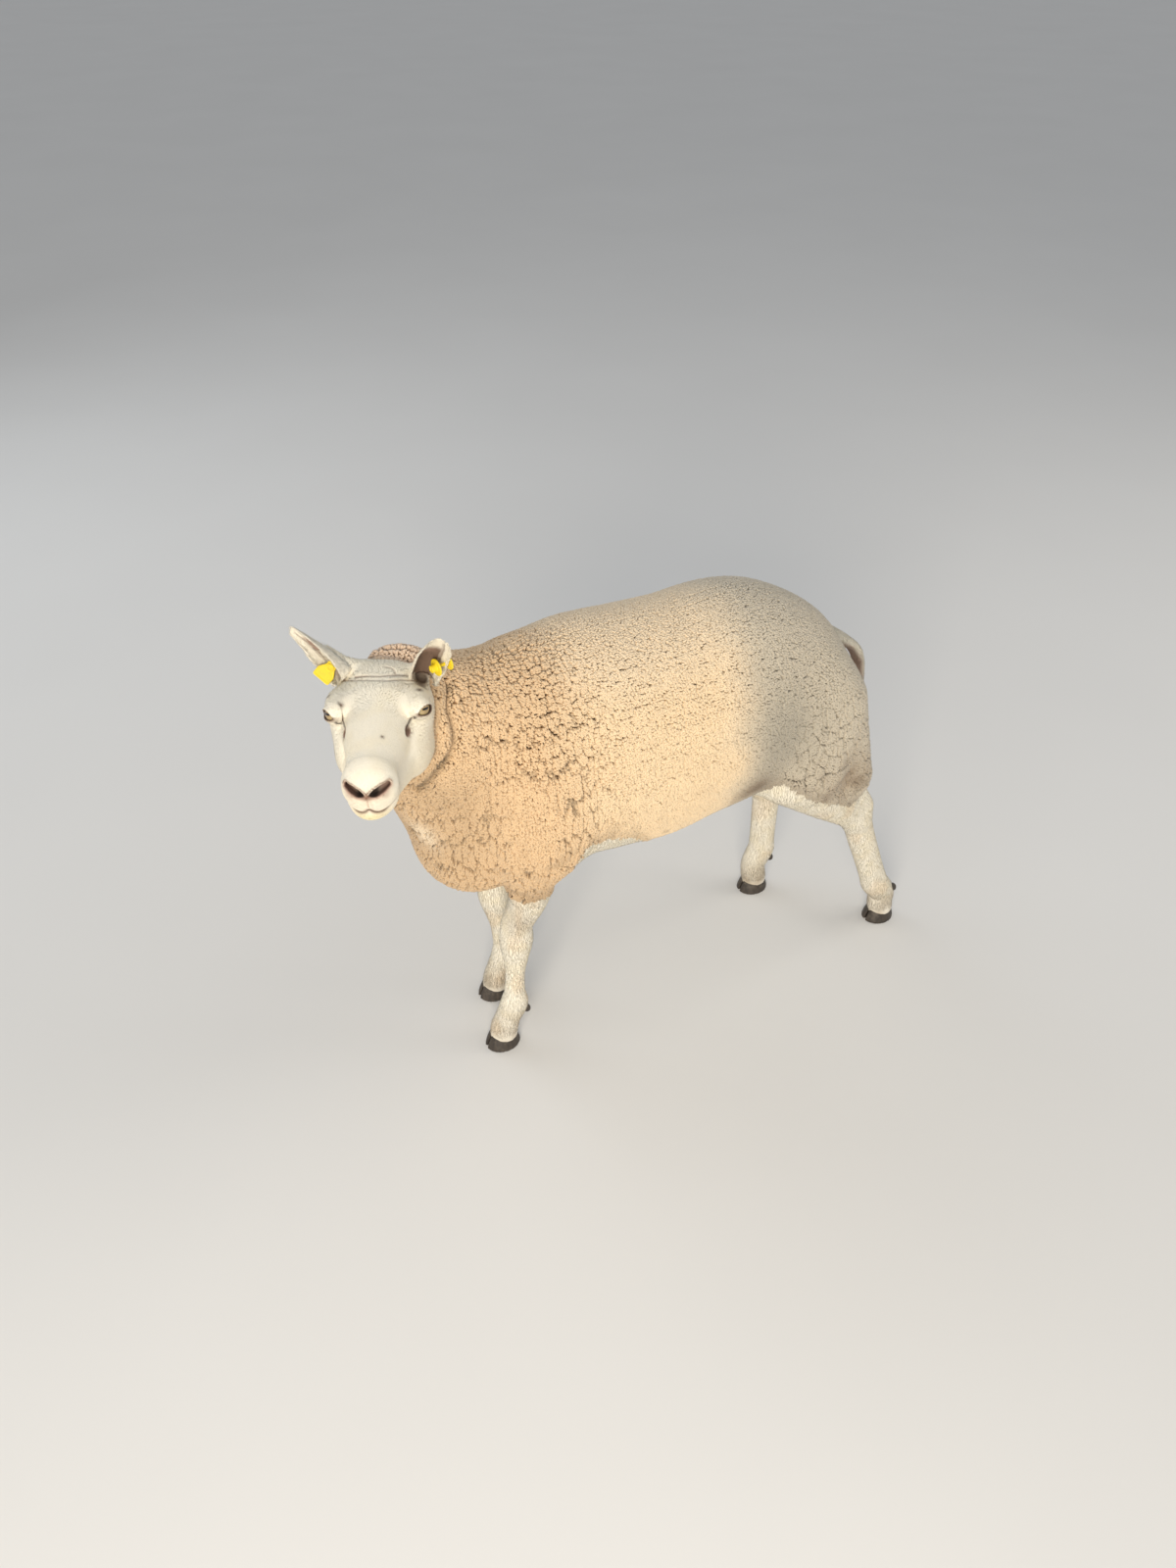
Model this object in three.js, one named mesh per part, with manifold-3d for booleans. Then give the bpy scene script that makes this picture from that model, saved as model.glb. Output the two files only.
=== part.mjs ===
// A standing sheep of a polled, white-faced, short-woolled meat breed, life size.
//
// Millimetres, +Z up. The sheep faces -Y and its own left side is +X. The body is described as a
// distance field: a few rounded masses and tapering limbs, blended where flesh and fleece run
// together. Each named sub-part is meshed from that one field at a fineness that suits it, and the
// sub-parts are parted from each other by thin cuts, so that they meet without overlapping.
import * as THREE from 'three';
import { mergeVertices } from 'three/addons/utils/BufferGeometryUtils.js';
import ManifoldModule from 'manifold-3d';

const wasm = await ManifoldModule();
wasm.setup();

const v3 = (x, y, z) => new THREE.Vector3(x, y, z);
const LEFT = 1;
const RIGHT = -1;

// ---- Driving dimensions ---------------------------------------------------------------------

const GAP = 0.4; // between neighbouring solids
const BACK_HEIGHT = 757; // top of the fleece over the withers
const BELLY_HEIGHT = 372; // underside of the fleece between the legs
const BODY_HALF_WIDTH = 172;
const MID_HEIGHT = (BACK_HEIGHT + BELLY_HEIGHT) / 2;

// The head has its own frame: origin at the poll, x to its left, nose towards -y, z up.
const POLL = v3(25, -474, 793);
const HEAD_TURN = THREE.MathUtils.degToRad(66.2); // looking round to its left
const NOSE_LIFT = THREE.MathUtils.degToRad(3.2);
const EYE_RADIUS = 13.5;
const EYE_CENTRE = v3(49, -87, -34); // the left one
const EAR_LENGTH = 93;
const EAR_SKIN = 5.6; // an ear's thickness with the hair on both sides

const FETLOCK_HEIGHT = 88;
const DEWCLAW_HEIGHT = 76;
const CLAW = { length: 62, width: 25, toe: 30, heel: 20, cleft: 3 };
const TAG = { pin: 2.2, plate: 2.2, button: 11.5, flag: { neck: 14, breadth: 26, reach: 20 } };

// Colours and finishes.
const FINISH = {
  fleece: { color: 0xcbb390, roughness: 0.95 },
  face: { color: 0xe9ddc6, roughness: 0.85 },
  leg: { color: 0xe4d8bd, roughness: 0.85 },
  ear: { color: 0xe6d3ba, roughness: 0.85 },
  eye: { color: 0x9c7434, roughness: 0.15 },
  horn: { color: 0x3a332d, roughness: 0.6 },
  tag: { color: 0xe9dc1e, roughness: 0.4 },
};
const materials = Object.fromEntries(
  Object.entries(FINISH).map(([name, look]) => [
    name,
    new THREE.MeshStandardMaterial({ name, metalness: 0, ...look }),
  ]),
);

// ---- Distance fields ------------------------------------------------------------------------

/** Joins two fields with a fillet about `soft` wide. */
function join(a, b, soft) {
  const h = THREE.MathUtils.clamp(0.5 + (0.5 * (b - a)) / soft, 0, 1);
  return b + (a - b) * h - soft * h * (1 - h);
}

/** A rounded mass: an ellipsoid with its three half-axes along x, y and z. */
function mass(p, centre, half) {
  const x = (p.x - centre[0]) / half[0];
  const y = (p.y - centre[1]) / half[1];
  const z = (p.z - centre[2]) / half[2];
  const near = Math.hypot(x, y, z);
  const steep = Math.hypot(x / half[0], y / half[1], z / half[2]);
  return (near * (near - 1)) / Math.max(steep, 1e-6);
}

/** One straight tapering length from a to b, each [x, y, z, radius]. */
function taper(p, a, b) {
  const d = [b[0] - a[0], b[1] - a[1], b[2] - a[2]];
  const q = [p.x - a[0], p.y - a[1], p.z - a[2]];
  const along = (q[0] * d[0] + q[1] * d[1] + q[2] * d[2]) / (d[0] ** 2 + d[1] ** 2 + d[2] ** 2);
  const t = THREE.MathUtils.clamp(along, 0, 1);
  const off = Math.hypot(q[0] - t * d[0], q[1] - t * d[1], q[2] - t * d[2]);
  return off - THREE.MathUtils.lerp(a[3], b[3], t);
}

/** Fills in `steps` stations between each two given ones, on a smooth curve through them all. */
function smoothed(stations, steps = 4) {
  const line = new THREE.CatmullRomCurve3(stations.map((s) => v3(s[0], s[1], s[2])));
  const girth = new THREE.CatmullRomCurve3(stations.map((s, i) => v3(s[3], i, 0)));
  const spans = (stations.length - 1) * steps;
  return Array.from({ length: spans + 1 }, (_, i) => {
    const at = line.getPoint(i / spans);
    return [at.x, at.y, at.z, girth.getPoint(i / spans).x];
  });
}

/** A limb carried along a smoothed line of stations, `slim` times as wide as it is deep. */
function limb(p, line, slim = 1) {
  const middle = line[line.length - 1][0];
  const q = slim === 1 ? p : v3(middle + (p.x - middle) / slim, p.y, p.z);
  let nearest = Infinity;
  for (let i = 1; i < line.length; i += 1) {
    nearest = Math.min(nearest, taper(q, line[i - 1], line[i]));
  }
  return nearest;
}

// ---- Trunk, neck and tail -------------------------------------------------------------------

function trunkField(p) {
  const chestBarrel = mass(p, [0, -165, MID_HEIGHT - 8], [BODY_HALF_WIDTH - 6, 230, 193]);
  const belly = mass(p, [0, 5, MID_HEIGHT - 4], [BODY_HALF_WIDTH - 4, 225, 182]);
  const loin = mass(p, [0, 88, 578], [142, 150, 162]);
  const buttocks = mass(p, [0, 175, 530], [128, 120, 158]);
  const brisket = mass(p, [6, -358, 444], [90, 98, 104]);
  let body = join(join(chestBarrel, belly, 50), join(loin, buttocks, 50), 50);
  body = join(body, brisket, 60);
  for (const side of [LEFT, RIGHT]) {
    body = join(body, mass(p, [side * 98, -292, 516], [64, 76, 132]), 50);
  }
  return body;
}

const NECK_LINE = smoothed([
  [4, -300, 620, 112],
  [12, -385, 650, 94],
  [18, -424, 698, 70],
]);

/** The neck with its deep wool, hanging low in front. */
function neckField(p) {
  return join(mass(p, [8, -385, 588], [104, 106, 146]), limb(p, NECK_LINE), 50);
}

const TAIL_LINE = smoothed([
  [0, 242, 636, 20],
  [0, 286, 596, 13],
  [0, 311, 558, 10],
  [0, 322, 508, 8.5],
]);
const TAIL_BREADTH = 2.1; // a docked tail is a flat strap, wider than it is thick

function tailField(p) {
  return limb(p, TAIL_LINE, TAIL_BREADTH);
}

// ---- Legs -----------------------------------------------------------------------------------

const LEG_SLIM = 0.92;

/** Stations down a fore leg whose hoof stands at `foot` with its knee at `knee`. */
function foreLegLine(side, knee, foot) {
  const fetlock = [foot[0] + side * 2, foot[1] + 24, FETLOCK_HEIGHT];
  const down = (t) => knee.map((k, i) => k + (fetlock[i] - k) * t);
  return smoothed([
    [side * 92, -304, 480, 54],
    [side * 87, -301, 408, 41],
    [side * 76, -301, 352, 37],
    [side * 72, -302, 326, 32],
    [...down(-0.22), 28],
    [...knee, 29.5],
    [...down(0.25), 23.5],
    [...down(0.55), 18],
    [...down(0.82), 19.5],
    [...fetlock, 25.5],
    [foot[0] + side, foot[1] + 13, 62, 24],
    [foot[0], foot[1] + 5, 38, 25.5],
    [foot[0], foot[1] + 3, 24, 26],
  ]);
}

/** Stations down a hind leg from the stifle, which is hidden in the wool, to the hoof. */
function hindLegLine(side, stifle, hock, foot) {
  const fetlock = [foot[0] + side, foot[1] - 18 * Math.sign(foot[1] - 300) - 6, FETLOCK_HEIGHT + 8];
  const shank = (t) => stifle.map((s, i) => s + (hock[i] - s) * t);
  const down = (t) => hock.map((h, i) => h + (fetlock[i] - h) * t);
  return smoothed([
    [...shank(0), 58],
    [...shank(0.52), 43],
    [...shank(0.86), 31],
    [...hock, 28.5],
    [...down(0.28), 27],
    [...down(0.6), 26],
    [...down(0.85), 26],
    [...fetlock, 27.5],
    [foot[0], foot[1] - 2, 64, 26],
    [foot[0], foot[1] - 1, 40, 26],
    [foot[0], foot[1] + 2, 24, 26],
  ]);
}

/** The flesh of the thigh and the tendon to the point of the hock. */
function haunch(p, leg) {
  const { side, stifle, hock } = leg;
  const hip = [side * 70, leg.hipAt, 578];
  const overStifle = taper(p, [...hip, 88], [stifle[0], stifle[1] + 30, stifle[2] + 12, 64]);
  const calf = stifle.map((s, i) => (s + hock[i]) / 2);
  const behind = taper(p, [hip[0], hip[1] + 48, hip[2] - 40, 78], [calf[0], calf[1] + 42, calf[2] + 34, 42]);
  const point = [hock[0], hock[1] + 20, hock[2] + 24];
  const tendon = taper(p, [calf[0], calf[1] + 50, calf[2] + 20, 20], [...point, 13]);
  const heel = taper(p, [...point, 13], [...hock, 22]);
  return join(join(overStifle, behind, 40), Math.min(tendon, heel), 24);
}

const LEGS = [
  { name: 'foreleg_left', side: LEFT, foot: [56, -355, 0], line: foreLegLine(LEFT, [60, -322, 238], [56, -355, 0]) },
  { name: 'foreleg_right', side: RIGHT, foot: [-55, -324, 0], line: foreLegLine(RIGHT, [-58, -312, 232], [-55, -324, 0]) },
  { name: 'hindleg_left', side: LEFT, foot: [86, 414, 0], stifle: [108, 142, 452], hock: [88, 313, 284], hipAt: 165 },
  { name: 'hindleg_right', side: RIGHT, foot: [-89, 240, 0], stifle: [-108, 108, 432], hock: [-90, 250, 240], hipAt: 140 },
];
for (const leg of LEGS) {
  leg.line ??= hindLegLine(leg.side, leg.stifle, leg.hock, leg.foot);
}

function legField(p, leg) {
  const shaft = limb(p, leg.line, LEG_SLIM);
  return leg.stifle ? join(shaft, haunch(p, leg), 24) : shaft;
}

// ---- Head -----------------------------------------------------------------------------------

const headGroup = new THREE.Group();
headGroup.position.copy(POLL);
headGroup.rotation.set(-NOSE_LIFT, 0, HEAD_TURN, 'ZXY');
headGroup.updateMatrixWorld(true);
const intoHead = headGroup.matrixWorld.clone().invert();

/** The skull, face and jaws, in the head's own frame. */
function skullField(p) {
  const cranium = mass(p, [0, -34, -46], [56, 60, 44]);
  const pollWool = mass(p, [0, -10, -20], [40, 32, 22]);
  const face = taper(p, [0, -74, -56, 51], [0, -186, -60, 30]);
  const muzzle = mass(p, [0, -200, -68], [35, 32, 31]);
  const chin = mass(p, [0, -200, -97], [24, 25, 16]);
  let head = join(join(cranium, face, 24), pollWool, 18);
  head = join(join(head, muzzle, 18), chin, 14);
  for (const side of [LEFT, RIGHT]) {
    const brow = mass(p, [side * 50, -76, -26], [17, 30, 15]);
    const temple = mass(p, [side * 44, -46, -52], [23, 40, 32]);
    const cheek = mass(p, [side * 43, -64, -86], [21, 50, 44]);
    const jaw = taper(p, [side * 34, -50, -112, 27], [side * 12, -182, -92, 18]);
    const earRoot = mass(p, [side * 46, -8, -24], [17, 18, 17]);
    head = join(join(head, brow, 14), temple, 16);
    head = join(join(join(head, cheek, 20), jaw, 22), earRoot, 14);
  }
  return head;
}

/** The whole animal without its ears, eyes, hooves and tail. */
function bodyField(p) {
  let body = join(trunkField(p), neckField(p), 50);
  for (const leg of LEGS) {
    body = join(body, legField(p, leg), 24);
  }
  const inHead = p.clone().applyMatrix4(intoHead);
  return inHead.length() > 420 ? body : join(body, skullField(inHead), 12);
}

// ---- From field to mesh ---------------------------------------------------------------------

/** The field's outward slope at p, by small differences. */
function slope(field, p, step = 0.5) {
  const g = v3(0, 0, 0);
  for (const axis of ['x', 'y', 'z']) {
    const q = p.clone();
    q[axis] += step;
    const ahead = field(q);
    q[axis] -= 2 * step;
    g[axis] = (ahead - field(q)) / (2 * step);
  }
  return g;
}

/** Moves p onto the field's surface. */
function settle(field, p) {
  for (let i = 0; i < 3; i += 1) {
    const g = slope(field, p);
    p.addScaledVector(g, -field(p) / Math.max(g.lengthSq(), 1e-4));
  }
  return p;
}

const STEPS = [[1, 0, 0], [0, 1, 0], [0, 0, 1]];
const plus = (a, b, times = 1) => a.map((n, axis) => n + times * b[axis]);

/** A grid cell's twelve edges as pairs of corners: four along each axis in turn. */
const CELL_EDGES = STEPS.flatMap((along, axis) =>
  [[0, 0], [0, 1], [1, 0], [1, 1]].map(([a, b]) => {
    const start = plus(STEPS[(axis + 1) % 3].map((n) => a * n), STEPS[(axis + 2) % 3], b);
    return [start, plus(start, along)];
  }));

/** The four edges round each of a cell's six faces. */
const CELL_FACES = [0, 1, 2].flatMap((axis) =>
  [0, 1].map((side) =>
    CELL_EDGES.map((_, n) => n).filter((n) => CELL_EDGES[n].every((corner) => corner[axis] === side))));

/**
 * Sorts a cell's edges by the separate patches of surface that cross them, and gives each edge its
 * patch, or -1 if none crosses it. Where two patches share a face, each rounds off one inside corner.
 */
function patchesOf(isInside) {
  const patch = CELL_EDGES.map(([a, b], n) => (isInside(a) === isInside(b) ? -1 : n));
  for (const face of CELL_FACES) {
    const crossed = face.filter((n) => patch[n] >= 0);
    for (const a of crossed) {
      for (const b of crossed.filter((n) => n > a)) {
        const shared = CELL_EDGES[a].find((corner) => CELL_EDGES[b].some((c) => c.join() === corner.join()));
        if (crossed.length > 2 && !(shared && isInside(shared))) continue;
        const [from, to] = [patch[a], patch[b]];
        patch.forEach((q, n) => {
          if (q === from) patch[n] = to;
        });
      }
    }
  }
  return patch;
}

/**
 * Meshes the inside of a field within a box, with a vertex in each grid cell for each patch of the
 * surface that crosses it. The box's own walls close the mesh where the field runs out of it.
 */
function meshed(field, box, cell) {
  const count = box.getSize(v3(0, 0, 0)).toArray().map((s) => Math.ceil(s / cell) + 3);
  const corner = (at) => v3(...at).subScalar(1).multiplyScalar(cell).add(box.min);
  const index = (at) => (at[0] * count[1] + at[1]) * count[2] + at[2];
  const values = new Float64Array(count[0] * count[1] * count[2]);
  const eachCorner = (visit) => {
    for (let i = 0; i < count[0]; i += 1) {
      for (let j = 0; j < count[1]; j += 1) {
        for (let k = 0; k < count[2]; k += 1) visit([i, j, k]);
      }
    }
  };
  const onWall = (at) => at.some((n, axis) => n === 0 || n === count[axis] - 1);
  eachCorner((at) => {
    values[index(at)] = onWall(at) ? cell : field(corner(at));
  });

  const positions = [];
  const vertexOf = new Map();
  const addVertices = (at) => {
    const value = (offset) => values[index(plus(at, offset))];
    const patch = patchesOf((offset) => value(offset) < 0);
    for (const own of new Set(patch.filter((q) => q >= 0))) {
      const crossed = CELL_EDGES.filter((_, n) => patch[n] === own);
      const rough = v3(0, 0, 0);
      for (const [from, to] of crossed) {
        const t = value(from) / (value(from) - value(to));
        rough.add(corner(plus(at, from)).lerp(corner(plus(at, to)), t));
      }
      rough.divideScalar(crossed.length);
      patch.forEach((q, n) => {
        if (q === own) vertexOf.set(index(at) * CELL_EDGES.length + n, positions.length / 3);
      });
      const atWall = at.some((n, axis) => n === 0 || n >= count[axis] - 2);
      positions.push(...(atWall ? rough : settle(field, rough)).toArray());
    }
  };
  eachCorner((at) => {
    if (at.every((n, axis) => n < count[axis] - 1)) addVertices(at);
  });

  // Each grid edge that the surface crosses gives one four-sided face round it.
  const faces = [];
  eachCorner((at) => {
    STEPS.forEach((along, axis) => {
      const next = plus(at, along);
      if (next[axis] >= count[axis]) return;
      const inside = values[index(at)] < 0;
      if (inside === values[index(next)] < 0) return;
      const ring = [[0, 0], [1, 0], [1, 1], [0, 1]].map(([a, b]) => {
        const cellAt = plus(plus(at, STEPS[(axis + 1) % 3], -a), STEPS[(axis + 2) % 3], -b);
        return vertexOf.get(index(cellAt) * CELL_EDGES.length + axis * 4 + a * 2 + b);
      });
      const [c0, c1, c2, c3] = inside ? ring : ring.reverse();
      faces.push(c0, c1, c2, c0, c2, c3);
    });
  });
  return { positions, faces };
}

/** A closed mesh as a solid that can be joined and cut. */
function solidFrom({ positions, faces }) {
  const mesh = new wasm.Mesh({
    numProp: 3,
    vertProperties: new Float32Array(positions),
    triVerts: new Uint32Array(faces),
  });
  return new wasm.Manifold(mesh);
}

/** A closed three.js geometry, placed by a matrix, as a solid. */
function solidOf(geometry, matrix = new THREE.Matrix4()) {
  const bare = geometry.clone().applyMatrix4(matrix);
  bare.deleteAttribute('normal');
  bare.deleteAttribute('uv');
  const merged = mergeVertices(bare, 1e-3);
  return solidFrom({ positions: merged.attributes.position.array, faces: merged.index.array });
}

/** A solid as a three.js geometry. */
function geometryOf(solid) {
  const mesh = solid.getMesh();
  const geometry = new THREE.BufferGeometry();
  geometry.setAttribute('position', new THREE.BufferAttribute(mesh.vertProperties, 3));
  geometry.setIndex(new THREE.BufferAttribute(mesh.triVerts, 1));
  geometry.computeVertexNormals();
  return geometry;
}

function named(name, geometry, material) {
  const mesh = new THREE.Mesh(geometry, material);
  mesh.name = name;
  return mesh;
}

/** A closed mesh with every vertex moved outwards across the field, to cut a clearance with. */
function swollen({ positions, faces }, field, by) {
  const moved = [];
  for (let i = 0; i < positions.length; i += 3) {
    const p = v3(positions[i], positions[i + 1], positions[i + 2]);
    moved.push(...p.addScaledVector(slope(field, p).normalize(), by).toArray());
  }
  return { positions: moved, faces };
}

// ---- The cuts that part the body ------------------------------------------------------------

const FAR = 1200; // reaches past the whole animal
const HALF_GAP = GAP / 2;

/** All that lies behind a plane through `at` that faces `outwards`, pushed out by `grow`. */
function halfSpace([at, outwards], grow) {
  const box = new THREE.BoxGeometry(2 * FAR, 2 * FAR, FAR).translate(0, 0, grow - FAR / 2);
  const turn = new THREE.Quaternion().setFromUnitVectors(v3(0, 0, 1), outwards.clone().normalize());
  return solidOf(box, new THREE.Matrix4().compose(at, turn, v3(1, 1, 1)));
}

/** The region behind several planes at once. */
function behind(planes, grow) {
  return planes.map((plane) => halfSpace(plane, grow)).reduce((a, b) => a.intersect(b));
}

/** An upright plane's normal tilted forward by `degrees`, so the cut rises towards the rear. */
function tiltedUp(degrees) {
  const tilt = THREE.MathUtils.degToRad(degrees);
  return v3(0, -Math.sin(tilt), Math.cos(tilt));
}

const headCutLocal = [
  [v3(0, -6, -60), v3(0, 1, 0.2)],
  [v3(0, -20, -142), v3(0, 0.12, -1)],
  [v3(72, 0, 0), v3(1, 0, 0)],
  [v3(-84, 0, 0), v3(-1, 0, 0)],
];

const nodeCut = {
  neck: [[v3(0, -345, 600), v3(0, 0.92, -0.39)]],
  head: headCutLocal.map(([at, out]) => [
    at.clone().applyMatrix4(headGroup.matrixWorld),
    out.clone().transformDirection(headGroup.matrixWorld),
  ]),
  foreLeg: (side) => [
    [v3(0, -240, 417), tiltedUp(28)],
    [v3(0, -240, 417), v3(0, 0.88, 0.47)],
    [v3(side * 31, 0, 0), v3(-side, 0, 0)],
  ],
  hindLeg: (side) => [
    [v3(0, 60, 415), tiltedUp(41)],
    [v3(side * 3, 0, 0), v3(-side, 0, 0)],
  ],
};

/** Below this plane a leg carries short hair instead of fleece. */
const HEM = {
  foreleg_left: [v3(0, -300, 338), tiltedUp(0)],
  foreleg_right: [v3(0, -300, 334), tiltedUp(0)],
  hindleg_left: [v3(0, 290, 322), tiltedUp(24)],
  hindleg_right: [v3(0, 240, 280), tiltedUp(8)],
};

/** Meshes the whole body within a box of the figure and keeps what lies behind the planes. */
function bodyPiece(low, high, cell, planes) {
  const whole = solidFrom(meshed(bodyField, new THREE.Box3(v3(...low), v3(...high)), cell));
  return whole.intersect(behind(planes, -HALF_GAP));
}

// ---- Feet -----------------------------------------------------------------------------------

/** The plane of the coronet, where hair meets horn: higher at the toe than at the heel. */
function coronetOf(leg) {
  const fall = Math.atan((CLAW.toe - CLAW.heel) / CLAW.length);
  const out = v3(0, Math.sin(fall), Math.cos(fall));
  return [v3(leg.foot[0], leg.foot[1], (CLAW.toe + CLAW.heel) / 2), out];
}

/** One claw of a cloven hoof: a rounded cone of horn, flat below and on its inner side. */
function clawSolid(leg, side) {
  const sunk = 20; // the cone's broadest level lies below the ground
  const cone = new THREE.SphereGeometry(1, 14, 10).scale(CLAW.width * 1.06, CLAW.length * 0.53, 62);
  const inner = leg.foot[0] + (side * CLAW.cleft) / 2;
  const horn = solidOf(cone, new THREE.Matrix4().makeTranslation(inner, leg.foot[1], -sunk));
  const shape = [
    coronetOf(leg),
    [v3(0, 0, 0), v3(0, 0, -1)],
    [v3(inner, 0, 0), v3(-side, 0, 0)],
  ];
  return horn.intersect(behind(shape, 0));
}

/** Where a dewclaw grows: behind the fetlock, half sunk in the skin. */
function dewclawPlace(leg, side) {
  const level = leg.line.find((station) => station[2] < DEWCLAW_HEIGHT);
  const at = v3(leg.foot[0] + side * 11, level[1], DEWCLAW_HEIGHT);
  while (legField(at, leg) < -3 || legField(at.clone().setY(at.y + 4), leg) < -1) at.y += 0.5;
  return at;
}

/** A dewclaw: a small knob of horn. */
function dewclawSolid(leg, side, grow) {
  const knob = new THREE.OctahedronGeometry(1, 1).scale(6.5 + grow, 7 + grow, 10 + grow);
  const turn = new THREE.Matrix4().makeRotationX(0.5);
  return solidOf(knob, turn.setPosition(dewclawPlace(leg, side)));
}

// ---- Ears -----------------------------------------------------------------------------------

/** How an ear is held: where it leaves the head, where it points and where it opens. */
const EARS = {
  left: {
    root: v3(50, -10, -20),
    along: v3(0.35, -0.49, 0.8),
    opens: v3(0.15, -0.85, -0.5),
    tag: { u: 0.42, turn: THREE.MathUtils.degToRad(62), standOff: 5, isFlag: false },
  },
  right: {
    root: v3(-42, -8, -17),
    along: v3(-0.69, 0.17, 0.69),
    opens: v3(-0.45, -0.86, -0.24),
    tag: { u: 0.23, turn: THREE.MathUtils.degToRad(-60), standOff: 10, isFlag: true },
  },
};

const earGirth = new THREE.CatmullRomCurve3(
  [[0, 14], [0.18, 16], [0.4, 19.5], [0.62, 19.5], [0.82, 15], [0.94, 9], [1, 3.5]].map(([u, r]) => v3(u, r, 0)),
);
const earWrap = (u) => THREE.MathUtils.degToRad(THREE.MathUtils.lerp(158, 62, Math.sqrt(u)));

/** A point of the ear's shell: `u` along it, `turn` round from its back, `out` from its middle. */
function onEar(u, turn, out) {
  const girth = earGirth.getPoint(u).y;
  const centre = -girth - 10 * u * u;
  return v3((girth + out) * Math.sin(turn), centre + (girth + out) * Math.cos(turn), u * EAR_LENGTH);
}

/** A funnel of skin, nearly closed at the root and opening to a leaf-shaped tip. */
function earGeometry() {
  const rings = 10;
  const arc = 7;
  const positions = [];
  const faces = [];
  for (let i = 0; i < rings; i += 1) {
    const u = i / (rings - 1);
    const half = (EAR_SKIN / 2) * (1 - 0.45 * u);
    const wrap = earWrap(u);
    for (let j = 0; j < 2 * arc; j += 1) {
      const outer = j < arc;
      const t = outer ? j / (arc - 1) : (2 * arc - 1 - j) / (arc - 1);
      positions.push(...onEar(u, (2 * t - 1) * wrap, outer ? half : -half).toArray());
    }
  }
  const around = 2 * arc;
  const at = (i, j) => i * around + (j % around);
  for (let i = 0; i < rings - 1; i += 1) {
    for (let j = 0; j < around; j += 1) {
      faces.push(at(i, j), at(i + 1, j + 1), at(i, j + 1), at(i, j), at(i + 1, j), at(i + 1, j + 1));
    }
  }
  for (let j = 0; j < arc - 1; j += 1) {
    const last = rings - 1;
    const [a, b, c, d] = [j, j + 1, around - 2 - j, around - 1 - j];
    faces.push(at(0, a), at(0, c), at(0, d), at(0, a), at(0, b), at(0, c));
    faces.push(at(last, a), at(last, d), at(last, c), at(last, a), at(last, c), at(last, b));
  }
  return { positions, faces };
}

/** The matrix that carries an ear's own frame into the head's. */
function earMatrix({ root, along, opens }) {
  const up = along.clone().normalize();
  const front = opens.clone().addScaledVector(up, -opens.dot(up)).normalize();
  const back = front.clone().negate();
  return new THREE.Matrix4().makeBasis(v3(0, 0, 0).crossVectors(back, up), back, up).setPosition(root);
}

/** The ear's shell as a solid in the head's frame, with the hole that its tag's pin goes through. */
function earSolid(ear) {
  const { positions, faces } = earGeometry();
  const shell = new THREE.BufferGeometry();
  shell.setAttribute('position', new THREE.Float32BufferAttribute(positions, 3));
  shell.setIndex(faces);
  const hole = new THREE.CylinderGeometry(TAG.pin + GAP, TAG.pin + GAP, 4 * EAR_SKIN, 12);
  hole.rotateX(Math.PI / 2);
  return solidOf(shell, earMatrix(ear)).subtract(solidOf(hole, tagMatrix(ear)));
}

// ---- Ear tags -------------------------------------------------------------------------------

/** The tag's own frame: origin in the ear's skin, z out of the back of the ear, x to the tip. */
function tagMatrix(ear) {
  const { u, turn } = ear.tag;
  const out = v3(Math.sin(turn), Math.cos(turn), 0);
  const tipwards = v3(0, 0, 1);
  const local = new THREE.Matrix4().makeBasis(tipwards, v3(0, 0, 0).crossVectors(out, tipwards), out);
  return local.setPosition(onEar(u, turn, 0)).premultiply(earMatrix(ear));
}

/** A flat disc or rod across the tag's z axis, between two levels of it. */
function rod(radius, from, to, sides = 14) {
  const cylinder = new THREE.CylinderGeometry(radius, radius, to - from, sides);
  return solidOf(cylinder.rotateX(Math.PI / 2).translate(0, 0, (from + to) / 2));
}

/** A flag tag's panel: a plate with rounded corners, narrowed to a neck at the pin. */
function flagPanel(from, to) {
  const { neck, breadth, reach } = TAG.flag;
  const shape = new THREE.Shape();
  shape.moveTo(-neck / 2, 8);
  shape.lineTo(neck / 2, 8);
  shape.quadraticCurveTo(neck / 2, -4, breadth / 2, -8);
  shape.lineTo(breadth / 2, 4 - reach);
  shape.quadraticCurveTo(breadth / 2, -reach, breadth / 2 - 4, -reach);
  shape.lineTo(4 - breadth / 2, -reach);
  shape.quadraticCurveTo(-breadth / 2, -reach, -breadth / 2, 4 - reach);
  shape.lineTo(-breadth / 2, -8);
  shape.quadraticCurveTo(-neck / 2, -4, -neck / 2, 8);
  const plate = new THREE.ExtrudeGeometry(shape, { depth: to - from, bevelEnabled: false, curveSegments: 4 });
  return solidOf(plate.translate(0, 0, from));
}

/** The piece inside the ear: a button with a stub, or a flag on a long boss. */
function tagFront(ear) {
  const { standOff, isFlag } = ear.tag;
  const skin = -EAR_SKIN / 2;
  const face = skin - standOff;
  if (!isFlag) {
    return rod(TAG.button, face - TAG.plate, face).add(rod(5, face - TAG.plate - 7, face, 14));
  }
  const boss = rod(5, face - TAG.plate - 1.5, skin - 1.6, 14);
  return flagPanel(face - TAG.plate, face).add(boss).subtract(rod(TAG.pin + GAP, face, 0, 12));
}

/** The piece behind the ear: a button whose pin goes through the skin into the front piece. */
function tagBack(ear) {
  const skin = EAR_SKIN / 2 + GAP;
  const face = -EAR_SKIN / 2 - ear.tag.standOff + GAP;
  return rod(TAG.button - 1.5, skin, skin + TAG.plate).add(rod(TAG.pin, face, skin + TAG.plate, 12));
}

// ---- Build ----------------------------------------------------------------------------------

const sheep = new THREE.Group();
sheep.add(headGroup);

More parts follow.
